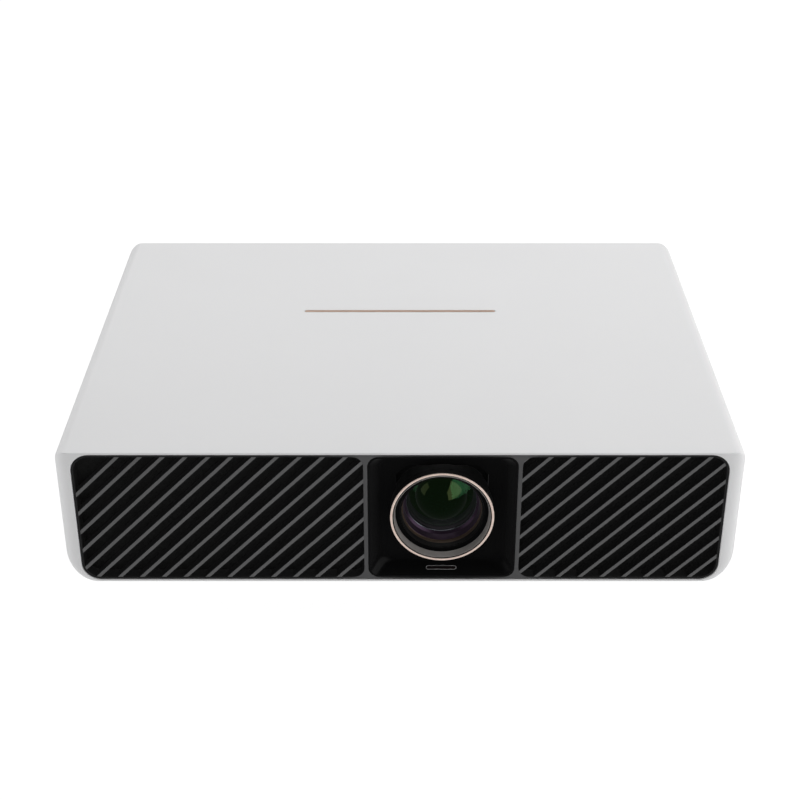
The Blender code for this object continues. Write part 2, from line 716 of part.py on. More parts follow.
def lens_surround():
    surround = finished("lens_surround", dish(), (LENS_X, FRAME_Y, FRAME_Z), "gloss_black", FRONT_VIEW)
    wall = surround.modifiers.new("wall", "SOLIDIFY")
    wall.thickness = DISH_WALL
    wall.offset = -1
    wall.use_even_offset = True

    back = FRAME_RECESS + DISH_DEPTH
    aperture = [(0, 0), (APERTURE_R, 0), (APERTURE_R, 2 * back), (0, 2 * back)]
    combine(surround, lens_turned("aperture", aperture))
    outer = APERTURE_R + COLLAR_WALL
    end = back + COLLAR_DEPTH
    collar = [
        (outer, back + DISH_WALL / 2),
        (outer, end),
        (BARREL_R + 2 * GAP, end),
        (BARREL_R + 2 * GAP, end - COLLAR_WALL),
        (APERTURE_R, end - COLLAR_WALL),
        (APERTURE_R, back + DISH_WALL / 2),
    ]
    combine(surround, lens_turned("collar", collar), "UNION")

    slope = math.atan2(DISH_END_SLOPE, DISH_DEPTH)
    middle_z = FRAME_Z - DISH_H / 2 + DISH_RIM_W + DISH_END_SLOPE / 2
    middle_y = FRAME_Y + DISH_DEPTH / 2
    hole = rounded_rect(WINDOW_L + 2 * GAP, WINDOW_W + 2 * GAP, WINDOW_W / 2 + GAP - END_SLACK)
    tilt = (slope, 0, 0)
    centre = (LENS_X, middle_y, middle_z)
    combine(surround, outline("window_hole", [hole], 4 * DISH_WALL, centre, rotation=tilt))
    pill = rounded_rect(WINDOW_L, WINDOW_W, WINDOW_W / 2 - END_SLACK)
    sunk = WINDOW_T / 2
    centre = (LENS_X, middle_y + sunk * math.sin(slope), middle_z - sunk * math.cos(slope))
    outline("infrared_window", [pill], WINDOW_T, centre, "infrared_window", tilt)


# Lens barrel


def lens_trim_ring():
    end = TRIM_RING_RECESS + TRIM_RING_L
    inner = BARREL_R - TRIM_RING_W
    ring = [(BARREL_R, TRIM_RING_RECESS), (BARREL_R, end), (inner, end), (inner, TRIM_RING_RECESS)]
    lens_turned("lens_trim_ring", ring, "rose_gold")


def lens_tube():
    """A front tube that takes the moving cell, a narrower rear tube and the flange that holds both."""
    front = TRIM_RING_RECESS + GAP
    spigot = BARREL_R - TRIM_RING_W - GAP
    shoulder = TRIM_RING_RECESS + TRIM_RING_L + GAP
    tube = lens_turned(
        "lens_tube",
        [
            (spigot, front),
            (spigot, shoulder),
            (BARREL_R, shoulder),
            (BARREL_R, TUBE_STEP_DEPTH),
            (REAR_TUBE_R, TUBE_STEP_DEPTH),
            (REAR_TUBE_R, TUBE_END),
            (REAR_BORE_R, TUBE_END),
            (REAR_BORE_R, TUBE_BORE_END),
            (TUBE_BORE_R, TUBE_BORE_END),
            (TUBE_BORE_R, front + CONE_L),
            (TUBE_BORE_R + CONE_STEP, front + CONE_L),
        ],
        "matt_black",
    )
    plate = [rounded_rect(FLANGE_W, FLANGE_H, REAR_TUBE_WALL), circle(REAR_TUBE_R - REAR_TUBE_WALL / 2)]
    centre = (LENS_X, FRONT_Y + FLANGE_START + FLANGE_T / 2, LENS_Z)
    combine(tube, outline("tube_flange", plate, FLANGE_T, centre), "UNION")


def lens_cell():
    """The moving cell: a tapering hood, then the seats of the retaining ring and the front lens."""
    end = CELL_START + CELL_L
    hood_end = CELL_START + HOOD_L
    hood_r = CELL_OUTER_R - HOOD_LIP - HOOD_TAPER
    ring_seat = FRONT_LENS_DEPTH - GAP
    lens_seat = FRONT_LENS_DEPTH + FRONT_LENS_EDGE_T + GAP
    lens_turned(
        "lens_cell",
        [
            (CELL_OUTER_R, CELL_START),
            (CELL_OUTER_R, end),
            (FRONT_LENS_R - LENS_SEAT_W, end),
            (FRONT_LENS_R - LENS_SEAT_W, lens_seat),
            (FRONT_LENS_R + GAP, lens_seat),
            (FRONT_LENS_R + GAP, ring_seat),
            (RETAINER_R + GAP, ring_seat),
            (RETAINER_R + GAP, hood_end),
            (hood_r, hood_end),
            (CELL_OUTER_R - HOOD_LIP, CELL_START),
        ],
        "bronze",
    )


def retaining_ring():
    inner = RETAINER_R - RETAINER_W
    start, end = RETAINER_DEPTH, RETAINER_DEPTH + RETAINER_T
    ring = [(RETAINER_R, start), (RETAINER_R, end), (inner, end), (inner, start)]
    lens_turned("retaining_ring", ring, "bronze")


def lens(name, radius, edge_depth, edge_t, sag, finish, shoulder=0, arc_steps=4):
    """A lens that bulges forward by its sag inside an optional flat shoulder, and has a flat back."""
    dome_r = radius - shoulder
    curve_r = (dome_r * dome_r + sag * sag) / (2 * sag)
    half_angle = math.degrees(math.asin(dome_r / curve_r))
    face = arc((0, edge_depth - sag + curve_r), curve_r, -90, -90 + half_angle, arc_steps)
    face[0] = (0, face[0][1])
    if shoulder:
        face.append((radius, edge_depth))
    profile = face + [(radius, edge_depth + edge_t), (0, edge_depth + edge_t)]
    lens_turned(name, profile, finish, 24)


def lenses():
    shoulder = RETAINER_W
    size = (FRONT_LENS_R, FRONT_LENS_DEPTH, FRONT_LENS_EDGE_T, FRONT_LENS_SAG)
    lens("front_lens", *size, "coated_glass", shoulder, 8)
    radius = REAR_BORE_R - GAP
    step = REAR_TUBE_L / 3
    for name, place_in_tube in (("middle_lens", 1), ("rear_lens", 2)):
        depth = TUBE_STEP_DEPTH + step * place_in_tube
        lens(name, radius, depth, SMALL_LENS_EDGE_T, SMALL_LENS_SAG, "clear_glass")


# Focus drive


def focus_drive():
    ring = [gear_outline(RING_TEETH), circle(BARREL_R + GAP, steps=LENS_STEPS)]
    gear_y = FRONT_Y + GEAR_START + GEAR_FACE / 2
    outline("focus_ring", ring, GEAR_FACE, (LENS_X, gear_y, LENS_Z), "white_nylon")

    pinion = [gear_outline(PINION_TEETH, math.pi / PINION_TEETH)]
    gear = outline("focus_pinion", pinion, GEAR_FACE, (PINION_X, gear_y, LENS_Z), "white_nylon")
    shaft_end = FRONT_Y + MOTOR_START + MOTOR_SHAFT_L
    shaft_y = (gear_y + shaft_end) / 2
    shaft_place = (PINION_X, shaft_y, LENS_Z)
    shaft = rod("pinion_shaft", MOTOR_SHAFT_R, shaft_end - gear_y, shaft_place, axis="Y", steps=16)
    combine(gear, shaft, "UNION")

    motor_y = FRONT_Y + MOTOR_START + MOTOR_L / 2
    motor = rod("focus_motor", MOTOR_R, MOTOR_L, (PINION_X, motor_y, LENS_Z), "steel", "Y")
    stay_start = motor_y
    stay_end = FRONT_Y + FLANGE_START - GAP
    stay_place = (PINION_X, (stay_start + stay_end) / 2, LENS_Z)
    combine(motor, rod("motor_stay", MOTOR_STAY_R, stay_end - stay_start, stay_place, axis="Y"), "UNION")
    bore_place = (PINION_X, FRONT_Y + MOTOR_START, LENS_Z)
    bore_l = 2 * (MOTOR_SHAFT_L + GAP)
    combine(motor, rod("motor_bore", MOTOR_SHAFT_R + GAP, bore_l, bore_place, axis="Y", steps=16))


# Optical engine and light source


def optical_engine():
    centre = (LENS_X, ENGINE_Y, LENS_Z)
    engine = box("optical_engine", (ENGINE_W, ENGINE_L, ENGINE_H), centre, "die_cast")
    inside = (ENGINE_W - 2 * ENGINE_WALL, ENGINE_L - 2 * ENGINE_WALL, ENGINE_H)
    combine(engine, box("engine_inside", inside, (LENS_X, ENGINE_Y, LENS_Z + ENGINE_WALL)))
    mouth = (LENS_X, ENGINE_FRONT_Y, LENS_Z)
    combine(engine, rod("engine_mouth", REAR_BORE_R, 4 * ENGINE_WALL, mouth, axis="Y"))

    lid_z = ENGINE_BASE_Z + ENGINE_H + GAP + ENGINE_WALL / 2
    lid_size = (ENGINE_W, ENGINE_L, ENGINE_WALL)
    box("engine_lid", lid_size, (LENS_X, ENGINE_Y, lid_z), "die_cast", edge=ENGINE_EDGE)
    prism_y = ENGINE_FRONT_Y + ENGINE_WALL + PRISM_SETBACK + PRISM_SIZE / 2
    box("prism_block", (PRISM_SIZE,) * 3, (LENS_X, prism_y, LENS_Z), "clear_glass", edge=ENGINE_EDGE)


def light_source():
    laser_x = ENGINE_RIGHT + GAP + LASER_W / 2
    box("laser_module", (LASER_W, LASER_L, LASER_H), (laser_x, ENGINE_Y, LENS_Z), "copper", edge=LASER_EDGE)

    left = laser_x + LASER_W / 2 + GAP
    pitch = (LASER_H - SINK_FIN_T) / (SINK_FINS - 1)
    comb = [(0, LASER_H / 2), (0, -LASER_H / 2)]
    for fin in range(SINK_FINS):
        bottom = -LASER_H / 2 + fin * pitch
        if fin:
            comb.append((SINK_BASE_T, bottom))
        comb.append((SINK_W, bottom))
        comb.append((SINK_W, bottom + SINK_FIN_T))
        if fin < SINK_FINS - 1:
            comb.append((SINK_BASE_T, bottom + SINK_FIN_T))
    outline("laser_heat_sink", [comb], ENGINE_L, (left, ENGINE_Y, LENS_Z), "aluminium")

    hub_start = WHEEL_HUB_L / 2
    disc = [
        (WHEEL_HUB_R, hub_start),
        (WHEEL_HUB_R, WHEEL_T / 2),
        (WHEEL_R, WHEEL_T / 2),
        (WHEEL_R, -WHEEL_T / 2),
        (MOTOR_SHAFT_R, -WHEEL_T / 2),
        (MOTOR_SHAFT_R, -WHEEL_T / 2 - MOTOR_SHAFT_L),
        (0, -WHEEL_T / 2 - MOTOR_SHAFT_L),
    ]
    wheel_place = (WHEEL_X, WHEEL_Y, LENS_Z)
    turned("phosphor_wheel", [(0, hub_start)] + disc, wheel_place, "phosphor", FRONT_VIEW)

    motor_front = WHEEL_Y + WHEEL_T / 2 + GAP
    motor_y = motor_front + WHEEL_MOTOR_L / 2
    motor = rod("wheel_motor", WHEEL_MOTOR_R, WHEEL_MOTOR_L, (WHEEL_X, motor_y, LENS_Z), "steel", "Y")
    arm_end = ENGINE_LEFT - GAP
    arm_size = (arm_end - WHEEL_X, WHEEL_ARM_T, WHEEL_ARM_T)
    combine(motor, box("wheel_arm", arm_size, ((WHEEL_X + arm_end) / 2, motor_y, LENS_Z)), "UNION")
    bore_place = (WHEEL_X, motor_front, LENS_Z)
    bore_l = 2 * (MOTOR_SHAFT_L + GAP)
    combine(motor, rod("wheel_motor_bore", MOTOR_SHAFT_R + GAP, bore_l, bore_place, axis="Y", steps=16))


# Fans


def fan(name, x):
    """A square axial fan: a housing with a hub plate on two cross struts, and a bladed rotor."""
    centre = (x, FAN_Y, INSIDE_Z)
    loops = [rounded_rect(FAN_SIZE, FAN_SIZE, FAN_CORNER_R), circle(FAN_BORE_R)]
    housing = outline(name + "_housing", loops, FAN_T, centre, "matt_black")
    base_y = FAN_Y + FAN_T / 2 - FAN_BASE_T / 2
    strut_l = 2 * FAN_BORE_R + FAN_WALL
    strut_t = FAN_BASE_T - 2 * GAP
    combine(housing, rod(name + "_base", FAN_HUB_R, FAN_BASE_T, (x, base_y, INSIDE_Z), axis="Y"), "UNION")
    for part, angle in (("rising", -math.pi / 4), ("falling", math.pi / 4)):
        size = (strut_l, strut_t, FAN_STRUT_W)
        strut = box(name + "_" + part, size, (x, base_y, INSIDE_Z), rotation=(0, angle, 0))
        combine(housing, strut, "UNION")

    hub_l = FAN_T - FAN_BASE_T - 4 * GAP
    hub_y = -FAN_T / 2 + 2 * GAP + hub_l / 2
    tip_r = FAN_BORE_R - FAN_TIP_CLEARANCE
    root_r = FAN_HUB_R - 2 * FAN_BLADE_T
    bm = bmesh.new()
    for blade in range(FAN_BLADES):
        spin = Matrix.Rotation(2 * math.pi * blade / FAN_BLADES, 4, "Y")
        twist = Matrix.Rotation(FAN_BLADE_TWIST, 4, "X")
        out = Matrix.Translation(((tip_r + root_r) / 2, 0, 0))
        size = (tip_r - root_r, FAN_BLADE_T, FAN_BLADE_CHORD)
        add_box(bm, size, (0, hub_y, 0), spin @ out @ twist)
    rotor = finished(name + "_rotor", bm, centre, "matt_black")
    hub_place = (x, FAN_Y + hub_y, INSIDE_Z)
    combine(rotor, rod(name + "_hub", FAN_HUB_R, hub_l, hub_place, axis="Y"), "UNION")


# Boards


def boards():
    main = (MAIN_BOARD_X, MAIN_BOARD_Y, MAIN_BOARD_Z + BOARD_T / 2)
    box("main_board", (MAIN_BOARD_W, MAIN_BOARD_L, BOARD_T), main, "board_green")
    supply = (SUPPLY_BOARD_X, SUPPLY_BOARD_Y, SUPPLY_BOARD_Z + BOARD_T / 2)
    box("supply_board", (SUPPLY_BOARD_W, SUPPLY_BOARD_L, BOARD_T), supply, "board_brown")

    seat_z = SUPPLY_BOARD_Z + BOARD_T + GAP
    width, length, height = TRANSFORMER_SIZE
    place_at = (SUPPLY_BOARD_X, SUPPLY_BOARD_Y - length, seat_z + height / 2)
    box("transformer", (width, length, height), place_at, "copper", edge=TRANSFORMER_EDGE)

    left = KEYPAD_X - KEY_SPACING - KEY_R - KEY_BOARD_MARGIN
    right = KEYPAD_X + POWER_KEY_OFFSET + POWER_KEY_R + KEY_BOARD_MARGIN
    height = 2 * (KEY_SPACING + KEY_R + KEY_BOARD_MARGIN)
    place_at = ((left + right) / 2, KEY_BOARD_Y, KEYPAD_Z)
    box("key_board", (right - left, BOARD_T, height), place_at, "board_green")


# Rear panel, sockets, keys and speakers


def keys():
    """Each key's name, place and radius."""
    return [
        ("ok_key", KEYPAD_X, KEYPAD_Z, KEY_R),
        ("up_key", KEYPAD_X, KEYPAD_Z + KEY_SPACING, KEY_R),
        ("down_key", KEYPAD_X, KEYPAD_Z - KEY_SPACING, KEY_R),
        ("left_key", KEYPAD_X + KEY_SPACING, KEYPAD_Z, KEY_R),
        ("right_key", KEYPAD_X - KEY_SPACING, KEYPAD_Z, KEY_R),
        ("power_key", KEYPAD_X + POWER_KEY_OFFSET, KEYPAD_Z, POWER_KEY_R),
    ]


def board_sockets():
    """Each rectangular socket on the main board: name, place, size, mouth and finish."""
    rows = [("lan_socket", LAN_X, LAN_SIZE, LAN_MOUTH, "steel")]
    rows += [(f"hdmi_socket_{i + 1}", x, HDMI_SIZE, HDMI_MOUTH, "steel") for i, x in enumerate(HDMI_XS)]
    rows += [(f"usb_socket_{i + 1}", x, USB_SIZE, USB_MOUTH, "steel") for i, x in enumerate(USB_XS)]
    return rows


def speaker_slots(x):
    """Upright slots that stay inside the speaker's circle."""
    loops = []
    reach = SPEAKER_R - SLOT_EDGE
    for i in range(SLOT_COUNT):
        offset = (i - (SLOT_COUNT - 1) / 2) * SLOT_PITCH
        height = 2 * math.sqrt(max(reach * reach - offset * offset, (2 * SLOT_W) ** 2))
        centre = (x + offset, INSIDE_Z - FRAME_Z)
        loops.append(rounded_rect(SLOT_W, height, SLOT_W / 2 - END_SLACK, centre, 2))
    return loops


def port_plate_edge(grow=0):
    """The port plate's outline: it holds every socket on the main board, with a margin all round."""
    width = PORT_PLATE_RIGHT - PORT_PLATE_LEFT + 2 * grow
    height = LAN_SIZE[1] + 2 * PORT_PLATE_MARGIN + 2 * grow
    centre = ((PORT_PLATE_LEFT + PORT_PLATE_RIGHT) / 2, SOCKET_Z + LAN_SIZE[1] / 2 - FRAME_Z)
    return rounded_rect(width, height, PORT_PLATE_R + grow, centre)


def port_plate():
    holes = []
    for _, x, size, _, _ in board_sockets():
        width, height = size[0] + 2 * PORT_CLEARANCE, size[1] + 2 * PORT_CLEARANCE
        holes.append(rectangle(width, height, (x, SOCKET_Z + size[1] / 2 - FRAME_Z)))
    audio_z = SOCKET_Z + AUDIO_SIZE[1] / 2
    holes.append(circle(AUDIO_NOSE_R + PORT_CLEARANCE, (AUDIO_X, audio_z - FRAME_Z), 20))
    centre = (0, REAR_FACE_Y - REAR_T / 2, FRAME_Z)
    pierced_plate("port_plate", port_plate_edge(), holes, REAR_T, centre, "dark_grey")


def rear_panel():
    holes = [port_plate_edge(GAP)]
    width, height = INLET_SIZE[0] + 2 * PORT_CLEARANCE, INLET_SIZE[1] + 2 * PORT_CLEARANCE
    place_at = (INLET_X, INLET_Z - FRAME_Z)
    holes.append(rounded_rect(width, height, INLET_R + PORT_CLEARANCE, place_at, 3))
    for _, x, z, radius in keys():
        holes.append(circle(radius + GAP, (x, z - FRAME_Z), 12))
    holes += speaker_slots(-SPEAKER_X) + speaker_slots(SPEAKER_X)
    edge = rounded_rect(FRAME_W, FRAME_H, FRAME_R)
    centre = (0, REAR_FACE_Y - REAR_T / 2, FRAME_Z)
    pierced_plate("rear_panel", edge, holes, REAR_T, centre, "matt_black")


def socket(name, x, size, mouth, finish):
    width, height, length = size
    z = SOCKET_Z + height / 2
    shell = box(name, (width, length, height), (x, REAR_FACE_Y - length / 2, z), finish)
    cut_size = (mouth[0], 2 * mouth[2], mouth[1])
    combine(shell, box(name + "_mouth", cut_size, (x, REAR_FACE_Y, z)))


def audio_socket():
    width, height, length = AUDIO_SIZE
    z = SOCKET_Z + height / 2
    body_end = REAR_INNER_Y - GAP
    body = box("audio_socket", (width, length, height), (AUDIO_X, body_end - length / 2, z), "gloss_black")
    nose_start = body_end - GAP
    nose_place = (AUDIO_X, (nose_start + REAR_FACE_Y) / 2, z)
    nose = rod("audio_nose", AUDIO_NOSE_R, REAR_FACE_Y - nose_start, nose_place, axis="Y", steps=20)
    combine(body, nose, "UNION")
    bore = rod("audio_bore", AUDIO_BORE_R, 2 * length, (AUDIO_X, REAR_FACE_Y, z), axis="Y", steps=16)
    combine(body, bore)


def ac_inlet():
    width, height, length = INLET_SIZE
    place_at = (INLET_X, REAR_FACE_Y - length / 2, INLET_Z)
    edge = rounded_rect(width, height, INLET_R, steps=3)
    body = outline("ac_inlet", [edge], length, place_at, "matt_black")
    mouth_w, mouth_h, depth = INLET_MOUTH
    hollow = rounded_rect(mouth_w, mouth_h, INLET_R, steps=3)
    combine(body, outline("inlet_mouth", [hollow], 2 * depth, (INLET_X, REAR_FACE_Y, INLET_Z)))
    pins = bmesh.new()
    root_y = REAR_FACE_Y - depth
    for x, z in ((-PIN_SPREAD, -PIN_EARTH_RISE), (PIN_SPREAD, -PIN_EARTH_RISE), (0, PIN_EARTH_RISE)):
        add_box(pins, PIN_SIZE, (INLET_X + x, root_y + PIN_SIZE[1] / 2 - GAP, INLET_Z + z))
    combine(body, finished("inlet_pins", pins), "UNION")


def key(name, x, z, radius):
    """A round cap, the flange that keeps it behind the panel and the stem that works its switch."""
    face = REAR_T + KEY_PROUD
    flange_r = radius + KEY_FLANGE_W
    flange_end = -GAP - KEY_FLANGE_T
    profile = [
        (0, face),
        (radius - KEY_EDGE, face),
        (radius, face - KEY_EDGE),
        (radius, -GAP),
        (flange_r, -GAP),
        (flange_r, flange_end),
        (KEY_STEM_R, flange_end),
        (KEY_STEM_R, flange_end - KEY_STEM_L),
        (0, flange_end - KEY_STEM_L),
    ]
    turned(name, profile, (x, REAR_INNER_Y, z), "dark_grey", REAR_VIEW, 12)


def speaker(name, x):
    """A frame, a dished cone with its dust cap, and a magnet, facing the rear."""
    profile = [
        (0, -SPEAKER_CAP_DEPTH),
        (SPEAKER_CAP_R, -SPEAKER_CONE_DEPTH),
        (SPEAKER_CONE_R, -SPEAKER_SURROUND_DEPTH),
        (SPEAKER_R, -2 * GAP),
        (SPEAKER_R, -SPEAKER_RIM_T),
        (SPEAKER_MAGNET_R, -SPEAKER_BASKET_L),
        (SPEAKER_MAGNET_R, -SPEAKER_L),
        (0, -SPEAKER_L),
    ]
    turned(name, profile, (x, REAR_INNER_Y, INSIDE_Z), "paper_cone", REAR_VIEW, 20)


# Underside


def standoffs():
    """Each stand-off on the bottom cover: its place and the height of its top."""
    edge_x = BASE_W / 2 - 2 * STANDOFF_R
    edge_y = BASE_D / 2 - 2 * STANDOFF_R
    rows = []
    for x, y, width, length, top in (
        (LENS_X, ENGINE_Y, ENGINE_W, ENGINE_L, ENGINE_BASE_Z),
        (MAIN_BOARD_X, MAIN_BOARD_Y, MAIN_BOARD_W, MAIN_BOARD_L, MAIN_BOARD_Z),
        (SUPPLY_BOARD_X, SUPPLY_BOARD_Y, SUPPLY_BOARD_W, SUPPLY_BOARD_L, SUPPLY_BOARD_Z),
    ):
        left = max(x - width / 2 + STANDOFF_INSET, -edge_x)
        right = x + width / 2 - STANDOFF_INSET
        front = y - length / 2 + STANDOFF_INSET
        back = min(y + length / 2 - STANDOFF_INSET, edge_y)
        rows += [(at_x, at_y, top - GAP) for at_x in (left, right) for at_y in (front, back)]
    return rows


def bottom_cover():
    vents = []
    for side in (-1, 1):
        for i in range(VENT_COUNT):
            x = side * VENT_X + (i - (VENT_COUNT - 1) / 2) * VENT_PITCH
            vents.append(rounded_rect(VENT_W, VENT_L, VENT_W / 2 - END_SLACK, (x, VENT_Y), 2))
    edge = rounded_rect(BASE_W, BASE_D, BASE_R)
    centre = (0, 0, BASE_Z + BASE_T / 2)
    cover = pierced_plate("bottom_cover", edge, vents, BASE_T, centre, "dark_grey", FLAT)

    bosses = bmesh.new()
    root_z = BASE_Z + BASE_T / 2
    for x, y in post_places():
        top = BASE_Z + SCREW_BOSS_L
        add_rod(bosses, SCREW_BOSS_R, top - root_z, (x, y, (top + root_z) / 2), steps=16)
    for x in (-FOOT_X, FOOT_X):
        top = BASE_Z + FOOT_BOSS_L
        add_rod(bosses, FOOT_BOSS_R, top - root_z, (x, FRONT_FOOT_Y, (top + root_z) / 2), steps=20)
    for x, y, top in standoffs():
        add_rod(bosses, STANDOFF_R, top - root_z, (x, y, (top + root_z) / 2), steps=8)
    combine(cover, finished("cover_bosses", bosses), "UNION")

    bores = bmesh.new()
    sink = 2 * (SCREW_SUNK + SCREW_HEAD_T + GAP)
    for x in (-FOOT_X, FOOT_X):
        add_rod(bores, STUD_R + GAP, 3 * FOOT_BOSS_L, (x, FRONT_FOOT_Y, BASE_Z), steps=20)
    for x, y in post_places():
        add_rod(bores, SCREW_HEAD_R + GAP, sink, (x, y, BASE_Z), steps=16)
    combine(cover, finished("cover_bores", bores))
    shanks = bmesh.new()
    for x, y in post_places():
        add_rod(shanks, SCREW_R + GAP, 3 * SCREW_BOSS_L, (x, y, BASE_Z), steps=12)
    combine(cover, finished("cover_shanks", shanks))


def cover_screws():
    head_z = BASE_Z + SCREW_SUNK
    shank_z = head_z + SCREW_HEAD_T
    top_z = shank_z + SCREW_L - GAP
    profile = [
        (0, top_z),
        (SCREW_R, top_z),
        (SCREW_R, shank_z),
        (SCREW_HEAD_R, shank_z),
        (SCREW_HEAD_R, head_z),
        (0, head_z),
    ]
    for i, (x, y) in enumerate(post_places()):
        name = f"cover_screw_{i + 1}"
        screw = turned(name, profile, (x, y, 0), "steel", steps=16)
        drive = rod(name + "_drive", SCREW_DRIVE_R, 2 * SCREW_DRIVE_DEPTH, (x, y, head_z), steps=6)
        combine(screw, drive)


def front_foot(side, x):
    """A screw with a thumb wheel, and the rubber pad that it stands on."""
    wheel_z = PAD_T + GAP
    stud_z = wheel_z + FOOT_WHEEL_T
    top_z = stud_z + STUD_L
    profile = [
        (0, top_z),
        (STUD_R, top_z),
        (STUD_R, stud_z),
        (FOOT_R, stud_z),
        (FOOT_R, wheel_z),
        (0, wheel_z),
    ]
    turned(f"{side}_foot_screw", profile, (x, FRONT_FOOT_Y, 0), "dark_grey", steps=24)
    pad = [(0, PAD_T), (PAD_R, PAD_T), (PAD_R, PAD_EDGE), (PAD_R - PAD_EDGE, 0), (0, 0)]
    turned(f"{side}_foot_pad", pad, (x, FRONT_FOOT_Y, 0), "rubber", steps=24)


def rear_foot(side, x):
    top = FOOT_H - GAP
    profile = [(0, top), (FOOT_R, top), (FOOT_R, PAD_EDGE), (FOOT_R - PAD_EDGE, 0), (0, 0)]
    turned(f"{side}_rear_foot", profile, (x, REAR_FOOT_Y, 0), "rubber", steps=24)


def build():
    outer_shell()
    accent_bar()
    front_frame()
    grille("left_grille", LEFT_CELL)
    grille("right_grille", RIGHT_CELL)
    lens_surround()
    lens_trim_ring()
    lens_tube()
    lens_cell()
    retaining_ring()
    lenses()
    focus_drive()
    optical_engine()
    light_source()
    fan("intake_fan", INTAKE_FAN_X)
    fan("exhaust_fan", EXHAUST_FAN_X)
    boards()
    rear_panel()
    port_plate()
    for row in board_sockets():
        socket(*row)
    audio_socket()
    ac_inlet()
    for row in keys():
        key(*row)
    speaker("left_speaker", -SPEAKER_X)
    speaker("right_speaker", SPEAKER_X)
    bottom_cover()
    cover_screws()
    for side, x in (("left", -FOOT_X), ("right", FOOT_X)):
        front_foot(side, x)
        rear_foot(side, x)


build()
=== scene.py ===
"""Looks of the home projector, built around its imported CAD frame. Metres; the front faces -Y."""

import json
import math

import bmesh
import bpy
from mathutils import Matrix, Vector

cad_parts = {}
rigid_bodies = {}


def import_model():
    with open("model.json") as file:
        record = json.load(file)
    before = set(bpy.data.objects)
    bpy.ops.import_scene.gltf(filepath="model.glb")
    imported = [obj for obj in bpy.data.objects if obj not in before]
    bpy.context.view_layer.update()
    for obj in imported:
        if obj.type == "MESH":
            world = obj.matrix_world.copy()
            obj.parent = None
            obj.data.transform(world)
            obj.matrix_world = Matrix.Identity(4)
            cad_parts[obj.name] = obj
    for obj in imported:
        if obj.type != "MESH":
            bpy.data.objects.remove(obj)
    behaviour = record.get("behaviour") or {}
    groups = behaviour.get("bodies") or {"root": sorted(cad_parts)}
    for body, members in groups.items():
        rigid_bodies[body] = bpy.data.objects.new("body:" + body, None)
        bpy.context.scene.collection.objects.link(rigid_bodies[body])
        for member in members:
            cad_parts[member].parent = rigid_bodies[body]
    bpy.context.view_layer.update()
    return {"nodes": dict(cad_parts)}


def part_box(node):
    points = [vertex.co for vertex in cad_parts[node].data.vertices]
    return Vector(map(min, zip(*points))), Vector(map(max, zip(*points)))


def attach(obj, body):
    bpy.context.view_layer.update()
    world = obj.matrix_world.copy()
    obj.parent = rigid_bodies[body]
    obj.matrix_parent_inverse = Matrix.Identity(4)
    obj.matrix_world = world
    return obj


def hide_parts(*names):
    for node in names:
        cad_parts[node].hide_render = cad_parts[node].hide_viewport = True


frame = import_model()
SCENE = bpy.context.scene

# ---------------------------------------------------------------- places from the CAD


def mid(node):
    low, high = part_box(node)
    return (low + high) / 2


def size(node):
    low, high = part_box(node)
    return high - low


SHELL_LOW, SHELL_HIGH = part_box("outer_shell")
FRONT_Y, BACK_Y = SHELL_LOW.y, SHELL_HIGH.y
TOP_Z, BASE_Z = SHELL_HIGH.z, SHELL_LOW.z
BODY_W, BODY_H = SHELL_HIGH.x - SHELL_LOW.x, TOP_Z - BASE_Z
FRAME_LOW, FRAME_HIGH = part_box("front_frame")
FRAME_W, FRAME_H = FRAME_HIGH.x - FRAME_LOW.x, FRAME_HIGH.z - FRAME_LOW.z
FRAME_Y, FRAME_BACK_Y = FRAME_LOW.y, FRAME_HIGH.y
FRAME_Z = (FRAME_LOW.z + FRAME_HIGH.z) / 2
RING = mid("lens_trim_ring")
LENS_X, LENS_Z = RING.x, RING.z
REAR_LOW, REAR_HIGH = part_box("rear_panel")
REAR_INNER_Y = REAR_LOW.y

GAP = 0.0003
FRAME_R = 0.0110
FRAME_BORDER = 0.0013
CELL_R = 0.0065
OUTER_CELL_R = FRAME_R - FRAME_BORDER
BOTTOM_R, TOP_R = 0.0190, 0.0080
PLAN_R = 0.0090
SHELL_WALL = 0.0022
RIB_PITCH, RIB_W, RIB_OFFSET, LAST_RIB = 0.00938, 0.0021, 0.0061, 0.1900
RIB_DEPTH = 0.0095
SLANT = math.radians(45)
SURROUND_RIM, DISH_END, DISH_SIDE, DISH_DEPTH = 0.0008, 0.0040, 0.0060, 0.0110
KEY_FLANGE = 0.0012
EDGE_STEPS = 16
LENS_STEPS, GLASS_STEPS = 128, 96
WELD, PILL, EDGE_BEVEL = 0.000002, 0.00002, 0.00025
LEVEL = Matrix.Rotation(-math.pi / 2, 4, "X")

# ---------------------------------------------------------------- mesh helpers


def arc(centre, radius, start, end, steps):
    points = []
    for i in range(steps + 1):
        a = math.radians(start + (end - start) * i / steps)
        points.append((centre[0] + radius * math.cos(a), centre[1] + radius * math.sin(a)))
    return points


def circle(radius, centre=(0, 0), steps=64):
    return arc(centre, radius, 0, 360, steps)[:-1]


def rounded_rect(width, height, radii, centre=(0, 0), steps=12):
    if not isinstance(radii, tuple):
        radii = (radii,) * 4
    points = []
    for (sx, sy, start), radius in zip(((-1, -1, 180), (1, -1, 270), (1, 1, 0), (-1, 1, 90)), radii):
        corner = (centre[0] + sx * (width / 2 - radius), centre[1] + sy * (height / 2 - radius))
        points += arc(corner, radius, start, start + 90, steps)
    return points


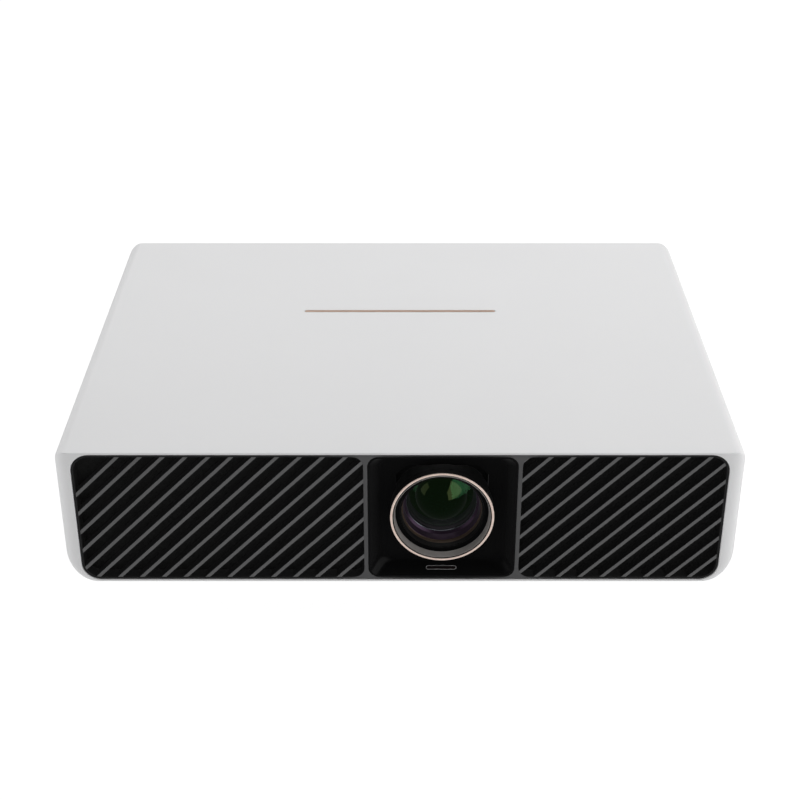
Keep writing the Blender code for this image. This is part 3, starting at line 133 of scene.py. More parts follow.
def soften(profile, radius, steps=3):
    """Rounds the corners of an open run of 2-D points."""
    out = [profile[0]]
    for before, here, after in zip(profile, profile[1:], profile[2:]):
        h, b, a = Vector(here), Vector(before), Vector(after)
        u, v = (b - h), (a - h)
        cut = min(radius, u.length * 0.45, v.length * 0.45)
        if u.length < 1e-7 or v.length < 1e-7 or u.angle(v) > math.radians(172):
            out.append(here)
            continue
        p, q = h + u.normalized() * cut, h + v.normalized() * cut
        for i in range(steps + 1):
            t = i / steps
            w = (1 - t) * (1 - t) * p + 2 * t * (1 - t) * h + t * t * q
            out.append((w.x, w.y))
    out.append(profile[-1])
    return out


def finish(name, bm, materials, body="root", stands_for=(), sharp=35, recalc=True):
    """Makes the piece, gives it its finish and its body."""
    if recalc:
        bmesh.ops.recalc_face_normals(bm, faces=bm.faces)
    mesh = bpy.data.meshes.new(name)
    bm.to_mesh(mesh)
    bm.free()
    mesh.shade_smooth()
    mesh.set_sharp_from_angle(angle=math.radians(sharp))
    obj = bpy.data.objects.new(name, mesh)
    SCENE.collection.objects.link(obj)
    for material in materials if isinstance(materials, (list, tuple)) else [materials]:
        mesh.materials.append(material)
    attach(obj, body)
    if stands_for:
        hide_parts(*stands_for)
    return obj


def move(bm, matrix):
    bmesh.ops.transform(bm, matrix=matrix, verts=bm.verts)


def loft(bm, rings, cyclic=False, capped=False):
    """Joins rings that have the same number of points with quads."""
    loops = [[bm.verts.new(p) for p in ring] for ring in rings]
    pairs = list(zip(loops, loops[1:]))
    if cyclic:
        pairs.append((loops[-1], loops[0]))
    for a, b in pairs:
        for i in range(len(a)):
            j = (i + 1) % len(a)
            bm.faces.new((a[i], a[j], b[j], b[i]))
    if capped:
        bm.faces.new(loops[0])
        bm.faces.new(loops[-1])


def turn_into(bm, profile, place, steps=96, material=0, closed=False):
    """Adds a body turned about +Y, from (radius, depth) points; radius 0 is a pole."""
    x, y, z = place
    rings = []
    for radius, depth in profile:
        if radius < 1e-7:
            rings.append([bm.verts.new((x, y + depth, z))])
            continue
        ring = []
        for i in range(steps):
            a = 2 * math.pi * i / steps
            point = (x + radius * math.cos(a), y + depth, z + radius * math.sin(a))
            ring.append(bm.verts.new(point))
        rings.append(ring)
    pairs = list(zip(rings, rings[1:]))
    if closed:
        pairs.append((rings[-1], rings[0]))
    for a, b in pairs:
        for i in range(steps):
            j = (i + 1) % steps
            if len(a) == 1:
                face = bm.faces.new((a[0], b[j], b[i]))
            elif len(b) == 1:
                face = bm.faces.new((a[i], a[j], b[0]))
            else:
                face = bm.faces.new((a[i], a[j], b[j], b[i]))
            face.material_index = material


def flat_form(loops, thickness, bevel=0.0, resolution=2):
    """A bmesh of a flat outline with holes, its edges rounded, lying in the XZ plane about Y = 0."""
    curve = bpy.data.curves.new("form", "CURVE")
    curve.dimensions = "2D"
    curve.fill_mode = "BOTH"
    curve.extrude = thickness / 2 - bevel
    curve.bevel_depth = bevel
    curve.bevel_resolution = resolution
    curve.offset = -bevel
    for loop in loops:
        spline = curve.splines.new("POLY")
        spline.points.add(len(loop) - 1)
        for point, (across, up) in zip(spline.points, loop):
            point.co = (across, up, 0, 1)
        spline.use_cyclic_u = True
    guide = bpy.data.objects.new("form", curve)
    SCENE.collection.objects.link(guide)
    graph = bpy.context.evaluated_depsgraph_get()
    mesh = bpy.data.meshes.new_from_object(guide.evaluated_get(graph))
    bpy.data.objects.remove(guide, do_unlink=True)
    bpy.data.curves.remove(curve)
    bm = bmesh.new()
    bm.from_mesh(mesh)
    bpy.data.meshes.remove(mesh)
    bmesh.ops.remove_doubles(bm, verts=bm.verts, dist=WELD)
    bmesh.ops.dissolve_degenerate(bm, edges=bm.edges, dist=0.000001)
    move(bm, Matrix.Rotation(math.pi / 2, 4, "X"))
    bmesh.ops.recalc_face_normals(bm, faces=bm.faces)
    return bm


def join(target, source, matrix=None, material=None):
    """Copies one bmesh into another."""
    if matrix is not None:
        move(source, matrix)
    if material is not None:
        for face in source.faces:
            face.material_index = material
    mesh = bpy.data.meshes.new("join")
    source.to_mesh(mesh)
    source.free()
    target.from_mesh(mesh)
    bpy.data.meshes.remove(mesh)


def block(bm, low, high, bevel=0.0, material=0, segments=2):
    """A box with rounded edges."""
    part = bmesh.new()
    low, high = Vector(low), Vector(high)
    centre, extent = (low + high) / 2, high - low
    place = Matrix.Translation(centre) @ Matrix.Diagonal((*extent, 1))
    bmesh.ops.create_cube(part, size=1, matrix=place)
    if bevel:
        bmesh.ops.bevel(
            part, geom=part.edges, offset=bevel, segments=segments, profile=0.5, affect="EDGES"
        )
    join(bm, part, material=material)


def cut(obj, cutters):
    """Takes closed bmeshes away from a piece and keeps the result as its mesh."""
    made = []
    for number, bm in enumerate(cutters):
        mesh = bpy.data.meshes.new(f"cutter_{number}")
        bmesh.ops.recalc_face_normals(bm, faces=bm.faces)
        bm.to_mesh(mesh)
        bm.free()
        cutter = bpy.data.objects.new(f"cutter_{number}", mesh)
        SCENE.collection.objects.link(cutter)
        made.append(cutter)
        boolean = obj.modifiers.new(cutter.name, "BOOLEAN")
        boolean.operation = "DIFFERENCE"
        boolean.solver = "EXACT"
        boolean.object = cutter
    graph = bpy.context.evaluated_depsgraph_get()
    mesh = bpy.data.meshes.new_from_object(obj.evaluated_get(graph))
    obj.modifiers.clear()
    for cutter in made:
        old = cutter.data
        bpy.data.objects.remove(cutter, do_unlink=True)
        bpy.data.meshes.remove(old)
    return mesh


# ---------------------------------------------------------------- materials


class Nodes:
    """A short way to write a material's nodes."""

    def __init__(self, name):
        self.material = bpy.data.materials.new(name)
        self.material.use_nodes = True
        self.tree = self.material.node_tree
        self.shader = self.tree.nodes["Principled BSDF"]

    def add(self, kind, **values):
        node = self.tree.nodes.new(kind)
        for key, value in values.items():
            if key in node.inputs:
                node.inputs[key].default_value = value
            else:
                setattr(node, key, value)
        return node

    def link(self, a, b):
        self.tree.links.new(a, b)

    def set(self, **values):
        for key, value in values.items():
            self.shader.inputs[key.replace("_", " ")].default_value = value

    def place(self, scale=(1, 1, 1), offset=(0, 0, 0)):
        coords = self.add("ShaderNodeTexCoord")
        mapping = self.add("ShaderNodeMapping")
        mapping.inputs["Location"].default_value = offset
        mapping.inputs["Scale"].default_value = scale
        self.link(coords.outputs["Object"], mapping.inputs["Vector"])
        return mapping.outputs["Vector"]

    def noise(self, scale, detail=2.0, vector=None, roughness=0.5):
        node = self.add("ShaderNodeTexNoise", Scale=scale, Detail=detail, Roughness=roughness)
        self.link(vector or self.place(), node.inputs["Vector"])
        return node.outputs["Fac"]

    def ramp(self, fac, stops):
        node = self.add("ShaderNodeValToRGB")
        elements = node.color_ramp.elements
        while len(elements) < len(stops):
            elements.new(0.5)
        for element, (at, colour) in zip(elements, stops):
            element.position = at
            element.color = (*colour, 1)
        self.link(fac, node.inputs["Fac"])
        return node.outputs["Color"]

    def span(self, fac, low, high, start=0.0, end=1.0):
        node = self.add("ShaderNodeMapRange")
        node.inputs["From Min"].default_value = start
        node.inputs["From Max"].default_value = end
        node.inputs["To Min"].default_value = low
        node.inputs["To Max"].default_value = high
        self.link(fac, node.inputs["Value"])
        return node.outputs["Result"]

    def bump(self, height, strength, distance):
        node = self.add("ShaderNodeBump", Strength=strength, Distance=distance)
        self.link(height, node.inputs["Height"])
        self.link(node.outputs["Normal"], self.shader.inputs["Normal"])

    def colour(self, output):
        self.link(output, self.shader.inputs["Base Color"])

    def roughness(self, output):
        self.link(output, self.shader.inputs["Roughness"])


def shade(colour, factor):
    return tuple(min(1.0, c * factor) for c in colour)


def moulded(name, colour, roughness, grain=2600.0, depth=0.00002, strength=0.25, drift=0.03, specular=0.5):
    """Moulded plastic or paint: a fine skin grain, and colour and gloss that drift a little."""
    n = Nodes(name)
    drift_noise = n.noise(14.0, 3.0)
    n.colour(n.ramp(drift_noise, [(0.25, shade(colour, 1 - drift)), (0.75, shade(colour, 1 + drift))]))
    fine = n.noise(grain, 3.0)
    n.roughness(n.span(fine, roughness - 0.05, roughness + 0.05, 0.3, 0.7))
    n.set(Specular_IOR_Level=specular)
    n.bump(fine, strength, depth)
    return n.material


def flaked(name, colour, roughness, metallic):
    """Paint with fine metal flakes."""
    n = Nodes(name)
    flakes = n.add("ShaderNodeTexVoronoi", Scale=5200.0)
    n.link(n.place(), flakes.inputs["Vector"])
    n.colour(n.ramp(flakes.outputs["Color"], [(0.2, shade(colour, 0.96)), (0.8, shade(colour, 1.08))]))
    fine = n.noise(2400.0, 2.0)
    n.roughness(n.span(fine, roughness - 0.04, roughness + 0.05, 0.3, 0.7))
    n.set(Metallic=metallic)
    n.bump(fine, 0.12, 0.00002)
    return n.material


def framed(name, colour, edge):
    """Grey paint on the mullions that turns into the black of the border away from them."""
    n = Nodes(name)
    split = n.add("ShaderNodeSeparateXYZ")
    n.link(n.place(offset=(-LENS_X, 0, 0)), split.inputs["Vector"])
    away = n.add("ShaderNodeMath", operation="ABSOLUTE")
    n.link(split.outputs["X"], away.inputs[0])
    mullion = (size("lens_surround").x + 0.0030) / 2
    near = n.add("ShaderNodeMath", operation="SUBTRACT")
    near.inputs[1].default_value = mullion
    n.link(away.outputs["Value"], near.inputs[0])
    off = n.add("ShaderNodeMath", operation="ABSOLUTE")
    n.link(near.outputs["Value"], off.inputs[0])
    share = n.span(off.outputs["Value"], 0.0, 1.0, 0.004, 0.030)
    n.colour(n.ramp(share, [(0.0, colour), (0.25, shade(colour, 0.55)), (1.0, edge)]))
    fine = n.noise(2400.0, 2.0)
    n.roughness(n.span(fine, 0.38, 0.47, 0.3, 0.7))
    n.set(Specular_IOR_Level=0.3)
    n.bump(fine, 0.12, 0.00002)
    return n.material


def glossy(name, colour, roughness=0.08, specular=0.5, smudge=0.06):
    """High-gloss plastic with the faint waviness of moulding and a little handling haze."""
    n = Nodes(name)
    wavy = n.noise(90.0, 1.0)
    haze = n.noise(35.0, 5.0, roughness=0.65)
    n.colour(n.ramp(haze, [(0.3, colour), (0.8, shade(colour, 1.25))]))
    n.roughness(n.span(haze, roughness, roughness + smudge, 0.35, 0.8))
    n.set(Specular_IOR_Level=specular)
    n.bump(wavy, 0.08, 0.0001)
    return n.material


def turned_metal(name, colour, roughness, pitch=0.00018, strength=0.25, metallic=1.0, specular=0.5):
    """Metal with the fine circular lines that a lathe leaves."""
    n = Nodes(name)
    wave = n.add(
        "ShaderNodeTexWave", wave_type="RINGS", rings_direction="Y", Scale=0.31 / pitch, Distortion=0.6
    )
    wave.inputs["Detail Scale"].default_value = 2.0
    n.link(n.place(offset=(-LENS_X, 0, -LENS_Z)), wave.inputs["Vector"])
    haze = n.noise(300.0, 3.0)
    n.colour(n.ramp(haze, [(0.3, shade(colour, 0.94)), (0.7, shade(colour, 1.05))]))
    n.roughness(n.span(haze, roughness - 0.05, roughness + 0.06, 0.3, 0.7))
    n.set(Metallic=metallic, Specular_IOR_Level=specular)
    n.bump(wave.outputs["Fac"], strength, 0.00001)
    return n.material


def brushed_metal(name, colour, roughness, along, strength):
    """Metal with fine straight lines along one direction."""
    n = Nodes(name)
    scale = {"X": (60, 2600, 2600), "Y": (2600, 60, 2600)}[along]
    lines = n.noise(1.0, 3.0, n.place(scale=scale))
    n.colour(n.ramp(lines, [(0.25, shade(colour, 0.88)), (0.75, shade(colour, 1.1))]))
    n.roughness(n.span(lines, roughness - 0.06, roughness + 0.08, 0.3, 0.7))
    n.set(Metallic=1.0)
    n.bump(lines, strength, 0.00001)
    return n.material


def cast_metal(name, colour):
    """Grainy, dull cast alloy."""
    n = Nodes(name)
    grain = n.noise(900.0, 5.0, roughness=0.7)
    n.colour(n.ramp(grain, [(0.3, shade(colour, 0.8)), (0.7, shade(colour, 1.12))]))
    n.roughness(n.span(grain, 0.42, 0.60, 0.3, 0.7))
    n.set(Metallic=0.9)
    n.bump(grain, 0.4, 0.00006)
    return n.material


def circuit(name, colour, copper):
    """A circuit board: solder mask over fine tracks and pads."""
    n = Nodes(name)
    tracks = n.add("ShaderNodeTexBrick", Scale=160.0)
    tracks.inputs["Color1"].default_value = (*colour, 1)
    tracks.inputs["Color2"].default_value = (*shade(colour, 1.35), 1)
    tracks.inputs["Mortar"].default_value = (*copper, 1)
    tracks.inputs["Mortar Size"].default_value = 0.035
    n.link(n.place(), tracks.inputs["Vector"])
    n.colour(tracks.outputs["Color"])
    n.roughness(n.span(tracks.outputs["Fac"], 0.35, 0.2))
    n.bump(tracks.outputs["Fac"], 0.3, 0.00005)
    return n.material


def wound(name, colour):
    """Enamelled copper winding."""
    n = Nodes(name)
    wave = n.add(
        "ShaderNodeTexWave", wave_type="BANDS", bands_direction="Z", Scale=500.0, Distortion=0.4
    )
    n.link(n.place(), wave.inputs["Vector"])
    n.colour(n.ramp(wave.outputs["Fac"], [(0.1, shade(colour, 0.45)), (0.6, colour)]))
    n.set(Metallic=0.8, Roughness=0.35)
    n.bump(wave.outputs["Fac"], 0.8, 0.0002)
    return n.material


def glass(name, tint, reflection):
    """Coated optical glass with a trace of dust on it."""
    n = Nodes(name)
    dust = n.noise(1800.0, 2.0)
    n.roughness(n.span(dust, 0.015, 0.045, 0.68, 0.8))
    n.set(Base_Color=(*tint, 1), Transmission_Weight=1.0, IOR=1.5)
    n.set(Specular_Tint=(*reflection, 1))
    return n.material


def coated_lens(name):
    """A coated front element: its surface mirrors green and lets the dark behind it show through."""
    n = Nodes(name)
    tone = n.noise(60.0, 2.0)
    n.colour(n.ramp(tone, [(0.3, (0.0005, 0.0018, 0.0012)), (0.7, (0.001, 0.0018, 0.0024))]))
    n.set(Roughness=0.0, Alpha=0.35, IOR=1.9)
    n.set(Specular_Tint=(0.22, 1.0, 0.38, 1))
    return n.material


def painted_reflection_glass(name, centre, edge, reflection, radius):
    """The deep glass behind the front element: dark, its base colour going from dark green at the middle to dark
    violet at the edge, a painted reflection of coloured coatings.
    """
    n = Nodes(name)
    ring = n.add("ShaderNodeTexGradient", gradient_type="SPHERICAL")
    scale = (1 / radius, 0.0001, 1 / radius)
    offset = (-LENS_X / radius, 0, -LENS_Z / radius)
    n.link(n.place(scale=scale, offset=offset), ring.inputs["Vector"])
    n.colour(n.ramp(ring.outputs["Fac"], [(0.0, edge), (0.45, shade(edge, 0.7)), (0.9, centre)]))
    n.set(Roughness=0.0, Specular_IOR_Level=1.0, IOR=1.6)
    n.set(Specular_Tint=(*reflection, 1))
    return n.material


def mesh_screen(name):
    """A fine black dust screen."""
    n = Nodes(name)
    cells = n.add("ShaderNodeTexVoronoi", Scale=900.0, feature="DISTANCE_TO_EDGE")
    n.link(n.place(), cells.inputs["Vector"])
    n.colour(n.ramp(cells.outputs["Distance"], [(0.05, (0.012,) * 3), (0.3, (0.002,) * 3)]))
    n.set(Roughness=0.8)
    n.bump(cells.outputs["Distance"], 0.6, 0.0003)
    return n.material


M = {
    "shell": moulded(
        "shell_white", (0.78, 0.78, 0.785), 0.46, grain=3200.0, strength=0.10, drift=0.006, specular=0.35
    ),
    "frame": framed("frame_grey", (0.100, 0.100, 0.102), (0.022, 0.022, 0.023)),
    "rib": flaked("rib_grey", (0.146, 0.146, 0.148), 0.45, 0.1),
    # rib_side: near-black finish for the sides of ribs, frame cells and grille rim, painted shade
    "rib_side": moulded(
        "rib_side_painted_shade", (0.008, 0.008, 0.0085), 0.7, grain=1800.0, strength=0.3, specular=0.25
    ),
    "dish": glossy("dish_black", (0.0060, 0.0060, 0.0063), 0.22, 0.12),
    "ring": turned_metal("ring_rose_gold", (1.0, 0.78, 0.68), 0.55, strength=0.08, metallic=0.0),
    "accent": brushed_metal("accent_rose_gold", (0.88, 0.62, 0.48), 0.32, "X", 0.15),
    "chamfer": turned_metal("chamfer_satin", (0.50, 0.47, 0.45), 0.45, strength=0.15, metallic=0.6),
    "tube": turned_metal(
        "tube_black", (0.0045, 0.0045, 0.0048), 0.6, pitch=0.0004, metallic=0.0, specular=0.1
    ),
    "black": turned_metal("cell_black", (0.007, 0.006, 0.006), 0.5, pitch=0.0004, metallic=0.0, specular=0.2),
    "bronze": turned_metal("cell_bronze", (0.150, 0.105, 0.075), 0.40, pitch=0.0004, metallic=0.7),
    "purple": turned_metal("cell_purple", (0.085, 0.050, 0.090), 0.34, pitch=0.0004, metallic=0.7),
    "silver": turned_metal("cell_silver", (0.30, 0.31, 0.36), 0.25, metallic=1.0),
    "front_glass": coated_lens("front_glass"),
    # core_glass: its dark green to dark violet base colour is a painted reflection
    "core_glass": painted_reflection_glass(
        "core_glass", (0.0004, 0.0012, 0.0008), (0.0010, 0.0010, 0.0030), (0.75, 1.0, 0.35), 0.0150
    ),
    "clear_glass": glass("clear_glass", (0.95, 0.98, 1.0), (0.6, 0.5, 1.0)),
    "window": glossy("window_dark_red", (0.010, 0.003, 0.004), 0.08, 0.5),
    "pale_print": moulded("pale_print", (0.62, 0.62, 0.62), 0.5, drift=0.02),
    "dark_plastic": moulded("dark_plastic", (0.028, 0.028, 0.030), 0.5, grain=1600.0, strength=0.35),
    "black_plastic": moulded("black_plastic", (0.014, 0.014, 0.015), 0.55, grain=1500.0, strength=0.4),
    "key": moulded("key_grey", (0.050, 0.050, 0.053), 0.42, grain=2600.0, strength=0.15),
    "rubber": moulded(
        "rubber", (0.018, 0.018, 0.018), 0.82, grain=1200.0, strength=0.5, depth=0.00005, specular=0.3
    ),
    "nylon": moulded("nylon", (0.66, 0.65, 0.60), 0.5, drift=0.03),
    "blue_plastic": moulded("blue_plastic", (0.02, 0.09, 0.42), 0.4, drift=0.03),
    "white_plastic": moulded("white_plastic", (0.6, 0.6, 0.6), 0.4, drift=0.03),
    "fan": moulded("fan_black", (0.014, 0.014, 0.015), 0.6, grain=1500.0, strength=0.3),
    "cone": moulded("speaker_cone", (0.030, 0.030, 0.032), 0.8, grain=500.0, strength=0.6, depth=0.0001),
    "steel": brushed_metal("steel", (0.56, 0.56, 0.57), 0.3, "Y", 0.2),
    "contact": brushed_metal("contact_gold", (0.80, 0.58, 0.26), 0.25, "Y", 0.1),
    "cast": cast_metal("cast_alloy", (0.36, 0.37, 0.38)),
    "fin": brushed_metal("fin_alloy", (0.62, 0.63, 0.64), 0.35, "Y", 0.3),
    "copper": wound("copper_winding", (0.62, 0.30, 0.16)),
    "laser": brushed_metal("copper_block", (0.62, 0.30, 0.16), 0.35, "X", 0.3),
    "board": circuit("board_green", (0.015, 0.095, 0.040), (0.05, 0.16, 0.06)),
    "brown_board": circuit("board_brown", (0.20, 0.12, 0.05), (0.10, 0.06, 0.03)),
    "phosphor": moulded("phosphor", (0.72, 0.64, 0.12), 0.5, grain=4000.0, drift=0.06),
    "screen": mesh_screen("dust_screen"),
}

CARRIED = {
    "focus_ring": "nylon",
    "focus_pinion": "nylon",
    "focus_motor": "steel",
    "optical_engine": "cast",
    "engine_lid": "cast",
    "prism_block": "clear_glass",
    "middle_lens": "clear_glass",
    "rear_lens": "clear_glass",
    "laser_module": "laser",
    "laser_heat_sink": "fin",
    "phosphor_wheel": "phosphor",
    "wheel_motor": "steel",
    "intake_fan_housing": "fan",
    "intake_fan_rotor": "fan",
    "exhaust_fan_housing": "fan",
    "exhaust_fan_rotor": "fan",
    "main_board": "board",
    "supply_board": "brown_board",
    "transformer": "copper",
    "key_board": "board",
    "bottom_cover": "dark_plastic",
    "left_speaker": "cone",
    "right_speaker": "cone",
}
for node, look in CARRIED.items():
    frame["nodes"][node].material_slots[0].material = M[look]
for number in range(1, 5):
    frame["nodes"][f"cover_screw_{number}"].material_slots[0].material = M["steel"]

# ---------------------------------------------------------------- camera, stage and light


CAMERA_LENS, CAMERA_TILT = 69.37, 60.68
CAMERA_PLACE = (0, -0.9143, 0.5627)
FLOOR_HALF, FLOOR_DROP, FLOOR_GLOW = 12, 0.0001, 0.95
SKY_SEEN, SKY_DIFFUSE, SKY_GLOSSY = 1.0, 0.20, 0.05


def aim(obj, target):
    direction = Vector(target) - obj.location
    obj.rotation_euler = direction.to_track_quat("-Z", "Y").to_euler()


camera_data = bpy.data.cameras.new("camera")
camera_data.lens = CAMERA_LENS
camera_data.sensor_width = 36.0
camera = bpy.data.objects.new("camera", camera_data)
camera.location = CAMERA_PLACE
camera.rotation_euler = (math.radians(CAMERA_TILT), 0, 0)
SCENE.collection.objects.link(camera)
SCENE.camera = camera
SCENE.view_settings.view_transform = "Standard"


def floor():
    mesh = bpy.data.meshes.new("floor")
    bm = bmesh.new()
    bmesh.ops.create_grid(bm, x_segments=1, y_segments=1, size=FLOOR_HALF)
    bm.to_mesh(mesh)
    bm.free()
    obj = bpy.data.objects.new("floor", mesh)
    SCENE.collection.objects.link(obj)
    n = Nodes("floor_white")
    n.set(Base_Color=(0.12, 0.12, 0.12, 1), Roughness=0.9, Specular_IOR_Level=0.0)
    n.set(Emission_Color=(1, 1, 1, 1), Emission_Strength=FLOOR_GLOW)
    mesh.materials.append(n.material)
    obj.visible_glossy = False
    obj.location.z = -FLOOR_DROP


floor()

world = bpy.data.worlds.new("studio")
world.use_nodes = True
SCENE.world = world
tree = world.node_tree
background = tree.nodes["Background"]
background.inputs["Color"].default_value = (1, 1, 1, 1)
paths = tree.nodes.new("ShaderNodeLightPath")
gloss = tree.nodes.new("ShaderNodeMapRange")
gloss.inputs["To Min"].default_value = SKY_DIFFUSE
gloss.inputs["To Max"].default_value = SKY_GLOSSY
tree.links.new(paths.outputs["Is Glossy Ray"], gloss.inputs["Value"])
span = tree.nodes.new("ShaderNodeMapRange")
span.inputs["To Max"].default_value = SKY_SEEN
tree.links.new(gloss.outputs["Result"], span.inputs["To Min"])
tree.links.new(paths.outputs["Is Camera Ray"], span.inputs["Value"])
tree.links.new(span.outputs["Result"], background.inputs["Strength"])


def softbox(name, location, target, width, height, radiance, diffuse=True, glossy=True):
    """A soft light panel of a given brightness."""
    data = bpy.data.lights.new(name, "AREA")
    data.shape = "RECTANGLE"
    data.size = width
    data.size_y = height
    data.energy = radiance * math.pi * width * height
    obj = bpy.data.objects.new(name, data)
    obj.location = location
    aim(obj, target)
    obj.visible_camera = False
    obj.visible_diffuse = diffuse
    obj.visible_glossy = glossy
    SCENE.collection.objects.link(obj)


softbox("overhead", (0, 0.45, 1.35), (0, 0.45, 0), 1.8, 1.5, 1.31, glossy=False)
softbox("right_side", (1.35, 0.05, 0.62), (0, 0, 0.05), 1.5, 1.15, 2.6, glossy=False)
softbox("left_side", (-1.5, 0.15, 0.62), (0, 0.1, 0.05), 1.1, 1.15, 2.4, glossy=False)
softbox("front_fill", (0, -1.7, 1.25), (0, 0, 0.05), 1.4, 0.7, 0.30, glossy=False)
softbox("rear_fill", (0, 1.9, 1.0), (0, 0, 0.05), 1.6, 0.8, 0.9)
softbox("right_panel", (1.15, -0.89, 0.83), (0, -0.89, 0.83), 2.3, 1.55, 0.8, diffuse=False)
softbox("left_panel", (-1.15, -0.02, 0.50), (0, -0.02, 0.50), 0.67, 0.90, 0.35, diffuse=False)

# ---------------------------------------------------------------- shell


def shell():
    """One skin from the front lip over the outside to the rear lip and back inside."""
    steps = EDGE_STEPS
    lip_depth, lip_steps, straight_end, shell_sharp = 0.0013, 12, 0.05, 30
    middle_z = (TOP_Z + BASE_Z) / 2
    outer = rounded_rect(BODY_W, BODY_H, (BOTTOM_R, BOTTOM_R, TOP_R, TOP_R), (0, middle_z), steps)
    opening = rounded_rect(FRAME_W + 2 * GAP, FRAME_H + 2 * GAP, FRAME_R + GAP, (0, FRAME_Z), steps)
    lip = rounded_rect(FRAME_W + 4 * GAP, FRAME_H + 4 * GAP, FRAME_R + 2 * GAP, (0, FRAME_Z), steps)
    inner = rounded_rect(
        BODY_W - 2 * SHELL_WALL,
        BODY_H - 2 * SHELL_WALL,
        (BOTTOM_R - SHELL_WALL, BOTTOM_R - SHELL_WALL, TOP_R - SHELL_WALL, TOP_R - SHELL_WALL),
        (0, middle_z),
        steps,
    )
    depth = []
    for corner in range(4):
        for i in range(steps + 1):
            a = math.radians((180, 270, 0, 90)[corner] + 90 * i / steps)
            depth.append(PLAN_R * math.cos(a) ** 2 + lip_depth * math.sin(a) ** 2)

    def ring(shape, y):
        return [(x, y, z) for x, z in shape]

    def end(face, sign, inside):
        """The rings of one end, from inside its opening out to the full section."""
        rings = [ring(opening, inside), ring(opening, face + sign * GAP), ring(lip, face)]
        for i in range(1, lip_steps + 1):
            a = math.pi / 2 * i / lip_steps
            share = math.sin(a)
            row = []
            for (lx, lz), (ox, oz), d in zip(lip, outer, depth):
                y = face + sign * d * (1 - math.cos(a))
                row.append((lx + (ox - lx) * share, y, lz + (oz - lz) * share))
            rings.append(row)
        return rings

    front = end(FRONT_Y, 1, FRAME_BACK_Y + GAP)
    rear = end(BACK_Y, -1, REAR_INNER_Y - GAP)
    rings = front + [ring(outer, -straight_end), ring(outer, straight_end)] + rear[::-1]
    rings += [ring(inner, REAR_INNER_Y - GAP), ring(inner, FRAME_BACK_Y + GAP)]
    bm = bmesh.new()
    loft(bm, rings, cyclic=True)
    piece = finish("shell", bm, M["shell"], stands_for=["outer_shell"], sharp=shell_sharp)

    cover = size("bottom_cover")
    cover_r, cutter_depth = 0.0080, 0.006
    edge = rounded_rect(cover.x + 2 * GAP, cover.y + 2 * GAP, cover_r + GAP)
    base = flat_form([edge], cutter_depth)
    move(base, Matrix.Translation((0, 0, BASE_Z)) @ LEVEL)
    low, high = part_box("accent_bar")
    width, length = high.x - low.x + 2 * GAP, high.y - low.y + 2 * GAP
    pocket = flat_form([rounded_rect(width, length, length / 2 - PILL)], 2 * (high.z - low.z + GAP))
    place = Matrix.Translation(((low.x + high.x) / 2, (low.y + high.y) / 2, TOP_Z))
    move(pocket, place @ LEVEL)
    mesh = cut(piece, [base, pocket])
    mesh.shade_smooth()
    mesh.set_sharp_from_angle(angle=math.radians(shell_sharp))
    piece.data = mesh


def accent_bar():
    low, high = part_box("accent_bar")
    centre = (low + high) / 2
    extent = high - low
    edge = rounded_rect(extent.x, extent.y, extent.y / 2 - PILL)
    bar = flat_form([edge], extent.z, EDGE_BEVEL, 3)
    move(bar, Matrix.Translation(centre) @ LEVEL)
    finish("accent_inlay", bar, M["accent"], stands_for=["accent_bar"])


# ---------------------------------------------------------------- front


def cell(left, right, radii, grow=0.0):
    height = FRAME_H - 2 * FRAME_BORDER
    radii = tuple(r + grow for r in radii)
    return rounded_rect(right - left + 2 * grow, height + 2 * grow, radii, ((left + right) / 2, 0))


def cell_rows():
    rows = {}
    for name, radii in (
        ("left_grille", (OUTER_CELL_R, CELL_R, CELL_R, OUTER_CELL_R)),
        ("lens_surround", (CELL_R,) * 4),
        ("right_grille", (CELL_R, OUTER_CELL_R, OUTER_CELL_R, CELL_R)),
    ):
        low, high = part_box(name)
        rows[name] = (low.x - GAP, high.x + GAP, radii)
    return rows


CELLS = cell_rows()


def painted_shade_on_sides(bm):
    """Painted shade: only what faces the front keeps the first finish; the rest gets the second, near-black finish
    that stands for the shade on the sides.
    """
    bm.normal_update()
    for face in bm.faces:
        face.material_index = 0 if face.normal.y < -0.55 else 1


def front_frame():
    edge = rounded_rect(FRAME_W, FRAME_H, FRAME_R)
    depth = FRAME_BACK_Y - FRAME_Y
    bm = flat_form([edge] + [cell(*row) for row in CELLS.values()], depth, EDGE_BEVEL, 3)
    move(bm, Matrix.Translation((0, FRAME_Y + depth / 2, FRAME_Z)))
    # painted shade: the frame's cell walls get the near-black second finish
    painted_shade_on_sides(bm)
    finish("frame", bm, [M["frame"], M["rib_side"]], stands_for=["front_frame"], recalc=False)


def clip(points, normal, limit):
    """The part of a convex outline on one side of a line."""
    out = []
    for i, p in enumerate(points):
        q = points[(i + 1) % len(points)]
        dp = p[0] * normal[0] + p[1] * normal[1] - limit
        dq = q[0] * normal[0] + q[1] * normal[1] - limit
        if dp <= 0:
            out.append(p)
        if (dp < 0 < dq) or (dq < 0 < dp):
            t = dp / (dp - dq)
            out.append((p[0] + (q[0] - p[0]) * t, p[1] + (q[1] - p[1]) * t))
    return out


def area(points):
    total = 0
    for (x, z), (next_x, next_z) in zip(points, points[1:] + points[:1]):
        total += x * next_z - next_x * z
    return total / 2


